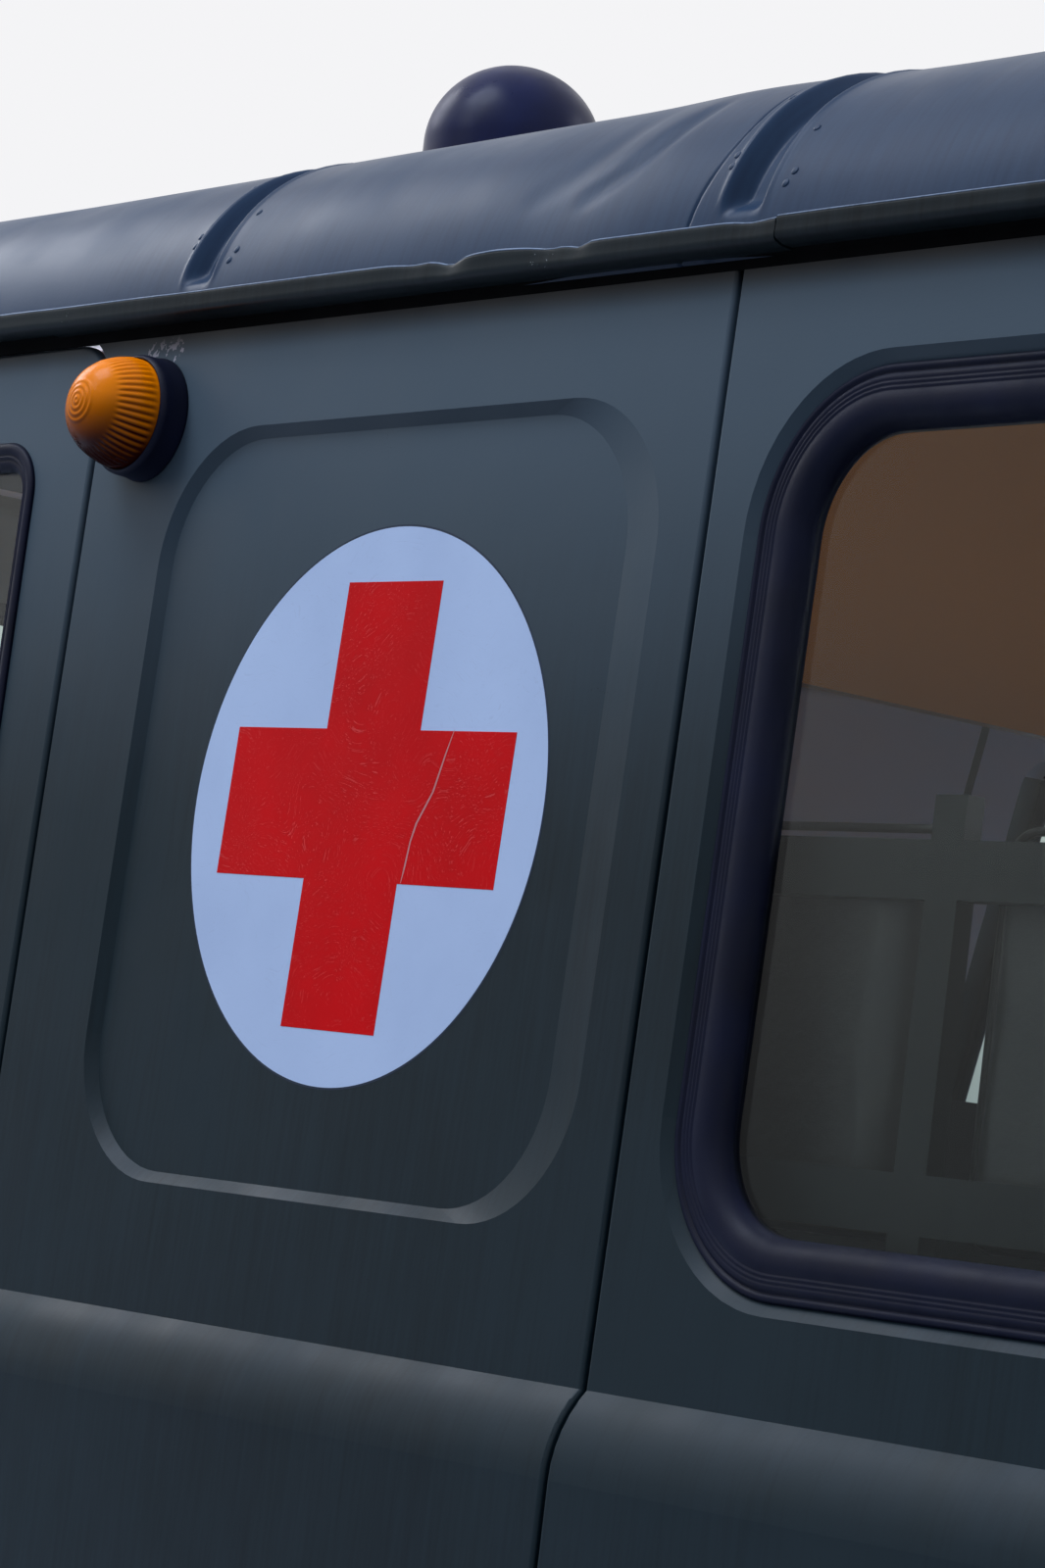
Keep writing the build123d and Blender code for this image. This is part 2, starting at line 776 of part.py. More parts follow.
def leaf(half_length, seat_z):
    """One spring leaf, curved up towards its ends, 8 mm thick and 55 mm wide."""
    rise = 26 * (half_length / 560) ** 2
    with BuildPart() as strip:
        with BuildSketch(Plane.YZ):
            with BuildLine():
                ThreePointArc((-half_length, seat_z + rise), (0, seat_z), (half_length, seat_z + rise))
                Line((half_length, seat_z + rise), (half_length, seat_z + rise + 8))
                ThreePointArc(
                    (half_length, seat_z + rise + 8), (0, seat_z + 8), (-half_length, seat_z + rise + 8)
                )
                Line((-half_length, seat_z + rise + 8), (-half_length, seat_z + rise))
            make_face()
        extrude(amount=27.5, both=True)
    return strip.part


def leaf_springs():
    """Four leaf springs with their hangers, clamps and dampers."""
    with BuildPart() as spring:
        for index in range(5):
            add(leaf(560 - 100 * (4 - index), 434 + 8 * index))
        for y in (-560, 560):
            with Locations((0, y, 500)):
                Cylinder(20, 55, rotation=(0, 90, 0))
            add(block((-27.5, 27.5), (y - 24, y + 24), (500, RAIL_Z[0])))
        add(block((-37, 37), (-60, 60), (474, 484)))
        add(block((-37, 37), (-60, 60), (336, 346)))
        with Locations(*[(x, y, 412) for x in (-32, 32) for y in (-50, 50)]):
            Cylinder(5, 156)
    with BuildPart() as springs:
        for y in (FRONT_AXLE_Y, REAR_AXLE_Y):
            for side in (1, -1):
                with Locations((side * 390, y, 0)):
                    add(spring.part)
    save(springs.part, "leaf_springs")


def axle_beam(y, half_tube):
    """Axle tube that swells to its final-drive housing, with two spring seats."""
    with BuildPart() as beam:
        with BuildSketch(Plane.XY.offset(0)):
            with BuildLine():
                for side in (1, -1):
                    Line((side * half_tube, 0), (side * half_tube, 42))
                    Line((side * half_tube, 42), (side * 190, 42))
                    Line((side * 190, 42), (side * 105, 78))
                    ThreePointArc((side * 105, 78), (side * 62, 116), (0, 132))
                    Line((side * half_tube, 0), (0, 0))
            make_face()
        revolve(axis=Axis.X)
    with BuildPart() as placed:
        with Locations((0, y, TYRE_R)):
            add(beam.part)
        for side in (1, -1):
            add(block((side * 390 - 26, side * 390 + 26), (y - 60, y + 60), (400, 434)))
    return placed.part


def axles():
    """Rigid axles; the front one ends in forks that carry the kingpins."""
    with BuildPart() as fork:
        add(block((530, 552), (FRONT_AXLE_Y - 45, FRONT_AXLE_Y + 45), (300, 480)))
        for z in (300, 456):
            with BuildSketch(Plane.XY.offset(z)):
                with Locations(((530 + KINGPIN_X) / 2, FRONT_AXLE_Y)):
                    Rectangle(KINGPIN_X - 530, 52)
                with Locations((KINGPIN_X, FRONT_AXLE_Y)):
                    Circle(26)
                    Circle(17, mode=Mode.SUBTRACT)
            extrude(amount=24)
    with BuildPart() as front:
        add(axle_beam(FRONT_AXLE_Y, 535))
        add(both_sides(fork.part))
    with BuildPart() as stub:
        with Locations((640, REAR_AXLE_Y, TYRE_R)):
            Cylinder(SPINDLE_R, 190, rotation=(0, 90, 0))
            Cylinder(150, 8, rotation=(0, 90, 0))
    with BuildPart() as rear:
        add(axle_beam(REAR_AXLE_Y, 640))
        add(both_sides(stub.part))
    save(joined(front.part, rear.part), "axles")


def knuckles():
    """Steering knuckles: kingpin, spindle, backplate and steering arm."""
    with BuildPart() as knuckle:
        with Locations((KINGPIN_X, FRONT_AXLE_Y, TYRE_R)):
            Cylinder(34, 100)
            Cylinder(11, 176)
        with Locations(((KINGPIN_X + 735) / 2, FRONT_AXLE_Y, TYRE_R)):
            Cylinder(SPINDLE_R, 735 - KINGPIN_X, rotation=(0, 90, 0))
        with Locations((644, FRONT_AXLE_Y, TYRE_R)):
            Cylinder(150, 8, rotation=(0, 90, 0))
        add(block((578, 602), (FRONT_AXLE_Y, FRONT_AXLE_Y + 150), (342, 356)))
    save(knuckle.part, "knuckle_left")
    save(right_hand(knuckle.part), "knuckle_right")


def wheel_parts():
    """Tyre and wheel about the X axis, outer side towards +X."""
    with BuildPart() as tyre:
        with BuildSketch(Plane.XY) as profile:
            with BuildLine():
                for side in (1, -1):
                    Line((0, RIM_R), (side * 78, RIM_R))
                    Line((side * 78, RIM_R), (side * 82, RIM_R + 18))
                    ThreePointArc(
                        (side * 82, RIM_R + 18), (side * TYRE_HALF_W, 292), (side * 88, TYRE_R - 18)
                    )
                    Line((side * 88, TYRE_R - 18), (side * 66, TYRE_R - 3))
                    ThreePointArc((side * 66, TYRE_R - 3), (side * 33, TYRE_R - 0.75), (0, TYRE_R))
            make_face()
        revolve(axis=Axis.X)
    with BuildPart() as rim:
        with BuildSketch(Plane.XY):
            with BuildLine():
                Polyline(
                    (-78, RIM_R),
                    (-84, RIM_R + 16),
                    (-90, RIM_R + 14),
                    (-84, RIM_R - 6),
                    (-30, 172),
                    (8, 172),
                    (0, 162),
                    (-66, 158),
                    (-66, 148),
                    (0, 146),
                    (0, 62),
                    (-58, 56),
                    (-58, 36),
                    (20, 36),
                    (20, 0),
                    (62, 0),
                    (60, 44),
                    (34, 52),
                    (34, 110),
                    (22, 150),
                    (20, 172),
                    (40, 176),
                    (84, RIM_R - 6),
                    (90, RIM_R + 14),
                    (84, RIM_R + 16),
                    (78, RIM_R),
                    close=True,
                )
            make_face()
        revolve(axis=Axis.X)
    return tyre.part, rim.part


def wheels():
    """Four wheels in their places."""
    tyre, rim = wheel_parts()
    for name, side, y in (
        ("front_left", 1, FRONT_AXLE_Y),
        ("front_right", -1, FRONT_AXLE_Y),
        ("rear_left", 1, REAR_AXLE_Y),
        ("rear_right", -1, REAR_AXLE_Y),
    ):
        for kind, piece in (("tyre", tyre), ("rim", rim)):
            with BuildPart() as placed:
                with Locations((TRACK_HALF, y, TYRE_R)):
                    add(piece)
            part = placed.part if side == 1 else right_hand(placed.part)
            save(part, f"{kind}_{name}")


def powertrain():
    """Engine block, gearbox, transfer case, shafts and exhaust."""
    with BuildPart() as drive:
        add(block((-240, 240), (-1560, -900), (560, 970)))
        fillet(drive.edges().filter_by(Axis.Y), 30)
        add(block((-120, 120), (-900, -520), (490, 650)))
        add(block((-180, 180), (-520, -260), (420, 640)))
        add(rod((0, -300, 470), (0, 966, 395), 26))
        add(rod((0, -480, 450), (0, -1064, 395), 24))
    save(drive.part, "powertrain")
    with BuildPart() as exhaust:
        add(rod((-262, -1000, 590), (-262, -1000, 466), 20))
        add(block((-262, -240), (-1010, -990), (575, 600)))
        add(rod((-262, -1000, 466), (-262, 2120, 466), 20))
        with Locations((-262, 250, 450)):
            Cylinder(62, 480, rotation=(90, 0, 0))
    save(exhaust.part, "exhaust")


def fuel_tanks():
    """Tanks under the floor on both sides."""
    with BuildPart() as tank:
        add(block((470, 860), (-540, 150), (430, 650)))
        fillet(tank.edges().filter_by(Axis.Y), 35)
        add(block((412.5, 480), (-400, -350), (560, 590)))
        add(block((412.5, 480), (-40, 10), (560, 590)))
        add(block((600, 640), (-420, -380), (640, 660)))
        add(block((600, 640), (-20, 20), (640, 660)))
    save(both_sides(tank.part), "fuel_tanks")


def bumpers():
    """Front bumper bar, rear step and their brackets."""
    with BuildPart() as bars:
        add(block((-860, 860), (-2186, -2130), (500, 610)))
        front_bar = bars.edges().filter_by(Axis.X)
        fillet(front_bar, 12)
        for side in (1, -1):
            arm_x = sorted((side * (RAIL_X + 13), side * (RAIL_X + 25)))
            add(block(arm_x, (-2135, RAIL_FRONT_Y), (507, 542)))
            add(block(arm_x, (RAIL_REAR_Y, 2155), (507, 542)))
            bar_x = sorted((side * 340, side * 860))
            add(block(bar_x, (2150, 2186), (490, 590)))
    save(bars.part, "bumpers")


# Fittings


def lamps():
    """Headlamps, front and side amber lamps, tail lamps and the roof beacon."""
    with BuildPart() as head:
        with BuildSketch(Plane.YZ.offset(600)):
            with BuildLine():
                Polyline(
                    (-2095, 900),
                    (-2095, 989),
                    (-2089, 995),
                    (-2040, 995),
                    (-1990, 960),
                    (-1980, 900),
                    close=True,
                )
            make_face()
        revolve(axis=Axis((600, 0, 900), (0, 1, 0)))
    save(both_sides(head.part), "headlamps")

    with BuildPart() as marker:
        with BuildSketch(Plane.XY):
            with BuildLine():
                Polyline((31, 52), (45.5, 19), (50, 19), (50, 0), (0, 0), (0, 77))
                ThreePointArc((0, 77), (20, 70.5), (31, 52))
            make_face()
        revolve(axis=Axis.Y)
    with BuildPart() as markers:
        with Locations(side_plane(-781, 1792).location * Location((0, 0, 0), (90, 0, 0))):
            add(marker.part)
    with BuildPart() as amber:
        add(both_sides(markers.part))
        for x in (650, -650):
            with Locations((x, -2102, 760)):
                Cylinder(42, 24, rotation=(90, 0, 0))
    save(amber.part, "amber_lamps")

    with BuildPart() as tail:
        add(block((700, 780), (TAIL_Y, TAIL_Y + 34), (850, 1010)))
        fillet(tail.edges().filter_by(Axis.Y), 14)
    save(both_sides(tail.part), "tail_lamps")

    dome_z = BEACON_TOP_Z - BEACON_R
    with BuildPart() as beacon:
        with Locations((0, BEACON_Y, 2150)):
            Cylinder(BEACON_R + 6, 140)
        with BuildSketch(Plane.XZ.offset(-BEACON_Y)):
            with BuildLine():
                ThreePointArc(
                    (0, BEACON_TOP_Z),
                    (BEACON_R * sin(radians(45)), dome_z + BEACON_R * cos(radians(45))),
                    (BEACON_R, dome_z),
                )
                Polyline((BEACON_R, dome_z), (BEACON_R, 2220), (0, 2220), (0, BEACON_TOP_Z))
            make_face()
        revolve(axis=Axis((0, BEACON_Y, 0), (0, 0, 1)))
        add(envelope(0), mode=Mode.SUBTRACT)
    save(beacon.part, "beacon")


def mirrors():
    """Door-height mirrors on tubular arms at the front pillars."""
    with BuildPart() as arms:
        add(rod((905, -1800, 1260), (1050, -1852, 1300), 8))
        add(rod((905, -1790, 1500), (1050, -1852, 1540), 8))
        add(envelope(0), mode=Mode.SUBTRACT)
    with BuildPart() as head:
        with Locations((1050, -1858, 1420)):
            Box(160, 26, 230)
        fillet(head.edges().filter_by(Axis.Y), 30)
    with BuildPart() as mirror_set:
        add(arms.part)
        with Locations((1050, -1852, 1420)):
            Cylinder(9, 290)
        add(head.part)
    save(both_sides(mirror_set.part), "mirrors")


# Inside


def cab_inside():
    """Dashboard, column, steering wheel, seats and partition."""
    slope = 30.0
    hub = Plane(origin=(480, -1620, 1230), x_dir=(1, 0, 0), z_dir=(0, sin(radians(slope)), cos(radians(slope))))
    foot_length = (1230 - FLOOR_Z) / cos(radians(slope))
    with BuildPart(hub) as wheel:
        Torus(200, 11)
        Cylinder(34, 24)
        for turn in (90, 210, 330):
            with Locations(Rot(0, 0, turn) * Pos(105, 0, 0)):
                Box(190, 24, 9)
        with Locations((0, 0, -46)):
            Cylinder(11, 80)
    save(wheel.part, "steering_wheel")

    with BuildPart() as dash:
        add(common(envelope(WALL), block((-900, 900), (-2060, -1850), (1040, 1190))))
        with BuildPart(hub) as column:
            with Locations((0, 0, -20)):
                Cylinder(27, foot_length - 20, align=(Align.CENTER, Align.CENTER, Align.MAX))
            with Locations((0, 0, -20)):
                Cylinder(17, 75, align=(Align.CENTER, Align.CENTER, Align.MAX), mode=Mode.SUBTRACT)
        add(column.part)
        add(block((450, 510), (-1852, -1690), (1085, 1115)))
        add(block((-1200, 1200), (-2300, -1500), (400, FLOOR_Z)), mode=Mode.SUBTRACT)
    save(dash.part, "dashboard")

    with BuildPart() as base:
        add(block((380, 820), (-1420, -960), (FLOOR_Z, 900)))
        with Locations((600, FRONT_AXLE_Y, TYRE_R)):
            Cylinder(HOUSING_R, 700, rotation=(0, 90, 0), mode=Mode.SUBTRACT)
        add(block((380, 820), (-980, -870), (860, 900)))
        add(block((385, 815), (-882, -870), (860, 1480)))
    save(both_sides(base.part), "seat_frames")
    with BuildPart() as cushion:
        add(block((365, 835), (-1440, -890), (900, 1000)))
        add(block((370, 830), (-972, -882), (1006, 1500)))
        fillet(cushion.edges().filter_by(Axis.X), 22)
    save(both_sides(cushion.part), "seat_cushions")

    with BuildPart() as wall:
        add(common(envelope(WALL), block((-1000, 1000), PARTITION_Y, (FLOOR_Z, 2200))))
        with BuildSketch(Plane.XZ.offset(-PARTITION_Y[1] - 20)):
            with Locations((0, 1520)):
                RectangleRounded(620, 360, 40)
        extrude(amount=200, mode=Mode.SUBTRACT)
    save(wall.part, "partition")


def ward_inside():
    """Folding bench on the left and stretcher on its stand on the right, with their pads."""
    with BuildPart() as frames:
        add(block((480, 861.5), (-730, 1890), (1040, 1052)))
        for y in BENCH_POSTS_Y:
            add(block((490, 520), (y - 15, y + 15), (FLOOR_Z, 1040)))
            add(block((862, 878), (y - 15, y + 15), (FLOOR_Z, 1500)))
        for z in (1230, 1450):
            add(block((862, 878), (-730, 1890), (z - 20, z + 20)))
        for x in (-860, -360):
            with Locations((x, 950, 960)):
                Cylinder(18, 2100, rotation=(90, 0, 0))
        for y in (30, 560, 1640, 1880):
            add(block((-875, -345), (y - 15, y + 15), (925, 948)))
            for x in (-860, -360):
                add(block((x - 15, x + 15), (y - 15, y + 15), (FLOOR_Z, 950)))
    save(frames.part, "ward_frames")
    with BuildPart() as pads:
        for y in BENCH_PADS_Y:
            add(block((470, 858), (y - 428, y + 428), (1052, 1130)))
            add(block((816, 862), (y - 428, y + 428), (1200, 1490)))
        add(block((-838, -382), (50, 1860), (948, 1010)))
        fillet(pads.edges().filter_by(Axis.Y), 18)
    save(pads.part, "ward_cushions")


if __name__ == "__main__":
    os.makedirs("parts", exist_ok=True)
    body_panels()
    window_fittings()
    doors()
    drip_rail()
    floor()
    engine_cover()
    chassis()
    leaf_springs()
    axles()
    knuckles()
    wheels()
    powertrain()
    fuel_tanks()
    bumpers()
    lamps()
    mirrors()
    cab_inside()
    ward_inside()
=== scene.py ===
"""Looks of a forward-control military ambulance van, seen from the left beside its cross.

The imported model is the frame: +X is the vehicle's left side, -Y its front, +Z up, in metres.
Sizes in the classes are in millimetres unless a name says otherwise.
"""

import logging
from dataclasses import dataclass
from enum import Enum
from math import atan, atan2, cos, pi, radians, sin, sqrt, tan

import bmesh
import bpy
import numpy as np
from mathutils import Matrix, Vector
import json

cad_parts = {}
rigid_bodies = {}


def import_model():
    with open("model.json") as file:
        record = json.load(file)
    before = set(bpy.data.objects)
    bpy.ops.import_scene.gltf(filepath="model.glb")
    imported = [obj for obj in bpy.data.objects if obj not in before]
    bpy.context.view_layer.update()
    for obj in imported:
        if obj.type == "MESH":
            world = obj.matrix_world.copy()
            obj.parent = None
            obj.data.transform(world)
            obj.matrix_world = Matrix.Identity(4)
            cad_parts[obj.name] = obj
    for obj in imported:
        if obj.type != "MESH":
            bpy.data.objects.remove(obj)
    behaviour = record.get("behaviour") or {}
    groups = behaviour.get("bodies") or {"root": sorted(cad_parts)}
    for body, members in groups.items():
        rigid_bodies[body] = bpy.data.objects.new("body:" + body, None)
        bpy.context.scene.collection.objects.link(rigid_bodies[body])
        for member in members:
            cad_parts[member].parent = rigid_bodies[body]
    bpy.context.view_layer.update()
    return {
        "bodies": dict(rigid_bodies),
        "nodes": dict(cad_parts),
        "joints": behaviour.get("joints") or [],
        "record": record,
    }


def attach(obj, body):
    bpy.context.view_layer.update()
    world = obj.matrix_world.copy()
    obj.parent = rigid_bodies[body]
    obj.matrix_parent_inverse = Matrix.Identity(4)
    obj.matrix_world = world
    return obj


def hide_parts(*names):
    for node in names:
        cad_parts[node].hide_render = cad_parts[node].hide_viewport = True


LOG = logging.getLogger("ambulance")
MM = 0.001
SAME_POINT_M = 1e-6
Mesh, Material, Object = bpy.types.Mesh, bpy.types.Material, bpy.types.Object
Tree, Node, Socket = bpy.types.NodeTree, bpy.types.Node, bpy.types.NodeSocket
Source = Node | Socket
Inputs = dict[str | int, object]
Pair = tuple[float, float]
Triple = tuple[float, float, float]
Places = tuple[Triple, ...]
Profile = list[Pair]
Faces = list[tuple[int, ...]]


# Small helpers


def linear(colour: str) -> tuple[float, float, float, float]:
    """Turn a hex sRGB colour into linear values.

    Args:
        colour: Six hex digits after a hash.

    Returns:
        Red, green and blue, linear, and an alpha of 1.
    """
    parts = [int(colour[i : i + 2], 16) / 255 for i in (1, 3, 5)]
    red, green, blue = (c / 12.92 if c <= 0.04045 else ((c + 0.055) / 1.055) ** 2.4 for c in parts)
    return red, green, blue, 1.0


def put(tree: Tree, kind: str, inputs: Inputs | None = None, **settings: object) -> Node:
    """Add one node to a tree.

    Args:
        tree: The tree that gets the node.
        kind: Blender's name of the node type.
        inputs: Values and sources for the node's own inputs.
        **settings: The node's own settings.

    Returns:
        The new node.
    """
    node = tree.nodes.new(kind)
    for name, value in settings.items():
        setattr(node, name, value)
    feed(tree, node, inputs or {})
    return node


def feed(tree: Tree, node: Node, inputs: Inputs) -> None:
    """Give a node its values and links.

    Args:
        tree: The node's tree.
        node: The node.
        inputs: A value, a socket or a node, whose first output counts, for each input.
    """
    for key, value in inputs.items():
        source = value.outputs[0] if isinstance(value, Node) else value
        if isinstance(source, Socket):
            tree.links.new(source, node.inputs[key])
        else:
            node.inputs[key].default_value = source


def per_metre(size_mm: float) -> float:
    """Scale of a pattern on object coordinates whose features are so many millimetres wide."""
    return 1000.0 / size_mm


def shown(name: str, mesh: Mesh) -> Object:
    """Put a mesh in the scene as an object at the origin.

    Args:
        name: Name of the object.
        mesh: Its mesh.

    Returns:
        The object.
    """
    piece = bpy.data.objects.new(name, mesh)
    bpy.context.scene.collection.objects.link(piece)
    return piece


def mesh_of(name: str, points: np.ndarray, faces: Faces) -> Mesh:
    """Make a smooth-shaded mesh.

    Args:
        name: Name of the mesh.
        points: One row of x, y, z in metres for each point.
        faces: Point numbers of each face.

    Returns:
        The mesh, with its faces turned outwards.
    """
    mesh = bpy.data.meshes.new(name)
    mesh.from_pydata([tuple(map(float, p)) for p in points], [], faces)
    outwards(mesh).shade_smooth()
    return mesh


def turned(profile: Profile, steps: int, closed: bool = False) -> tuple[np.ndarray, Faces]:
    """Points and faces of a profile turned about the z axis.

    Args:
        profile: Radius and height of each point, in metres.
        steps: Points round the turn.
        closed: Whether the last point of the profile joins the first one.

    Returns:
        The points and the faces.
    """
    angles = np.linspace(0, 2 * pi, steps, endpoint=False)
    rows = [np.column_stack((r * np.cos(angles), r * np.sin(angles), np.full(steps, z))) for r, z in profile]
    faces: Faces = []
    last = len(profile) if closed else len(profile) - 1
    for i in range(last):
        j = (i + 1) % len(profile)
        for k in range(steps):
            n = (k + 1) % steps
            faces.append((i * steps + k, i * steps + n, j * steps + n, j * steps + k))
    return np.vstack(rows), faces


def add_piece(name: str, mesh: Mesh, finish: Material, slot: str, body: str, *nodes: str) -> Object:
    """Show a mesh as a dressed piece, let it ride on its body and stand for CAD nodes.

    Args:
        name: Name of the piece.
        mesh: Its mesh; a finish that the mesh has already stays.
        finish: Its material.
        slot: The record's material slot; not used.
        body: The body that it rides on.
        *nodes: CAD nodes that it stands for.

    Returns:
        The piece.
    """
    if not mesh.materials:
        mesh.materials.append(finish)
    piece = shown(name, mesh)
    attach(piece, body)
    if nodes:
        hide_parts(*nodes)
    LOG.info("%s rides on %s", piece.name, body)
    return piece


# Trees that repeat and sweep


def tree_with(name: str, sockets: dict[str, str]) -> tuple[Tree, Node, Node]:
    """Start a Geometry Nodes tree.

    Args:
        name: Name of the tree.
        sockets: Type of each named input after the geometry.

    Returns:
        The tree and its input and output nodes.
    """
    tree = bpy.data.node_groups.new(name, "GeometryNodeTree")
    tree.interface.new_socket("Geometry", in_out="INPUT", socket_type="NodeSocketGeometry")
    for label, kind in sockets.items():
        tree.interface.new_socket(label, in_out="INPUT", socket_type=kind)
    tree.interface.new_socket("Geometry", in_out="OUTPUT", socket_type="NodeSocketGeometry")
    return tree, put(tree, "NodeGroupInput"), put(tree, "NodeGroupOutput")


def end_tree(tree: Tree, form: Source, finish: Source, result: Node) -> None:
    """End a tree: instances made real, the finish set.

    Args:
        tree: The tree.
        form: The geometry so far.
        finish: The socket that gives the finish.
        result: The tree's output node.
    """
    whole = put(tree, "GeometryNodeRealizeInstances", {0: form})
    dressed = put(tree, "GeometryNodeSetMaterial", {"Geometry": whole, "Material": finish})
    feed(tree, result, {0: dressed})


def evaluated(source: Object) -> Mesh:
    """A plain mesh of an object as its modifiers shape it."""
    graph = bpy.context.evaluated_depsgraph_get()
    return bpy.data.meshes.new_from_object(source.evaluated_get(graph), depsgraph=graph)


def grown(name: str, source: Object, tree: Tree, inputs: Inputs) -> Mesh:
    """Run a tree on a source object and keep the result as a plain mesh.

    Args:
        name: Name of the mesh.
        source: The object that carries the tree; it is removed afterwards.
        tree: The tree.
        inputs: Values of the tree's named inputs.

    Returns:
        The mesh.
    """
    modifier = source.modifiers.new(name, "NODES")
    modifier.node_group = tree
    for item in tree.interface.items_tree:
        if item.item_type == "SOCKET" and item.in_out == "INPUT" and item.name in inputs:
            modifier[item.identifier] = inputs[item.name]
    mesh = evaluated(source)
    mesh.name = name
    bpy.data.objects.remove(source)
    return mesh


def outwards(mesh: Mesh) -> Mesh:
    """Merge a mesh's doubles and turn its faces outwards.

    Args:
        mesh: The mesh; it is changed in place.

    Returns:
        The same mesh.
    """
    form = bmesh.new()
    form.from_mesh(mesh)
    bmesh.ops.remove_doubles(form, verts=form.verts, dist=SAME_POINT_M)
    bmesh.ops.recalc_face_normals(form, faces=form.faces)
    form.to_mesh(mesh)
    form.free()
    return mesh


class Sweeper:
    """Runs a closed profile along a path, as extruded rubber or rolled sheet is made."""

    def __init__(self) -> None:
        """Build the tree once."""
        self.tree, given, result = tree_with(
            "profile_along_path",
            {"Profile": "NodeSocketObject", "Profile Size": "NodeSocketFloat", "Finish": "NodeSocketMaterial"},
        )
        tree = self.tree
        path = put(tree, "GeometryNodeMeshToCurve", {"Mesh": given.outputs["Geometry"]})
        level = put(tree, "GeometryNodeSetCurveNormal", {"Curve": path}, mode="Z_UP")
        shape = put(tree, "GeometryNodeObjectInfo", {"Object": given.outputs["Profile"]})
        ring = put(tree, "GeometryNodeMeshToCurve", {"Mesh": shape.outputs["Geometry"]})
        sized = put(tree, "ShaderNodeCombineXYZ", {i: given.outputs["Profile Size"] for i in range(3)})
        scaled = put(tree, "GeometryNodeTransform", {"Geometry": ring, "Scale": sized})
        swept = put(tree, "GeometryNodeCurveToMesh", {"Curve": level, "Profile Curve": scaled, "Fill Caps": True})
        end_tree(tree, swept, given.outputs["Finish"], result)

    def sweep(self, name: str, path: np.ndarray, profile: Profile, closed: bool, finish: Material) -> Mesh:
        """Sweep a profile along a path on the level.

        Args:
            name: Name of the mesh.
            path: Points of the path, in metres; anticlockwise, so that outwards is to its right.
            profile: Outward and upward place of each point, in millimetres.
            closed: Whether the path is a ring.
            finish: Its material.

        Returns:
            The swept mesh, smooth-shaded, its faces outwards.
        """
        sources = []
        for label, points, ring in (
            ("path", path, closed),
            ("profile", np.array([(x * MM, -y * MM, 0.0) for x, y in profile]), True),
        ):
            count = len(points)
            edges = [(k, (k + 1) % count) for k in range(count if ring else count - 1)]
            mesh = bpy.data.meshes.new(label)
            mesh.from_pydata([tuple(map(float, p)) for p in points], edges, [])
            sources.append(shown(label, mesh))
        carrier, shape = sources
        mesh = grown(name, carrier, self.tree, {"Profile": shape, "Profile Size": 1.0, "Finish": finish})
        bpy.data.objects.remove(shape)
        outwards(mesh).shade_smooth()
        return mesh


class Repeater:
    """Sets copies of one small form on points, each turned to the point's own frame."""

    def __init__(self) -> None:
        """Build the tree once."""
        self.tree, given, result = tree_with(
            "form_on_points",
            {"Form": "NodeSocketObject", "Form Size": "NodeSocketFloat", "Finish": "NodeSocketMaterial"},
        )
        tree = self.tree
        form = put(tree, "GeometryNodeObjectInfo", {"Object": given.outputs["Form"]})
        turn = put(tree, "GeometryNodeInputNamedAttribute", {"Name": "turn"}, data_type="FLOAT_VECTOR")
        points = put(tree, "GeometryNodeMeshToPoints", {"Mesh": given.outputs["Geometry"]})
        copies = put(
            tree,
            "GeometryNodeInstanceOnPoints",
            {
                "Points": points,
                "Instance": form.outputs["Geometry"],
                "Rotation": turn,
                "Scale": given.outputs["Form Size"],
            },
        )
        end_tree(tree, copies, given.outputs["Finish"], result)

    def repeat(self, name: str, form: Mesh, frames: list[Matrix], finish: Material) -> Mesh:
        """Copy a form to each frame.

        Args:
            name: Name of the mesh.
            form: The form, at the origin.
            frames: Where each copy goes, unscaled.
            finish: Their material.

        Returns:
            One mesh with all the copies.
        """
        mesh = bpy.data.meshes.new("points")
        mesh.from_pydata([tuple(frame.translation) for frame in frames], [], [])
        turns = mesh.attributes.new("turn", "FLOAT_VECTOR", "POINT")
        for item, frame in zip(turns.data, frames):
            item.vector = frame.to_euler("XYZ")
        source = shown("form", form)
        made = grown(name, shown("points", mesh), self.tree, {"Form": source, "Form Size": 1.0, "Finish": finish})
        bpy.data.objects.remove(source)
        return made


# Finishes


class Grain(Enum):
    """How a flat finish is textured."""

    SMOOTH = "smooth"
    PEBBLE = "pebble"
    CAST = "cast"


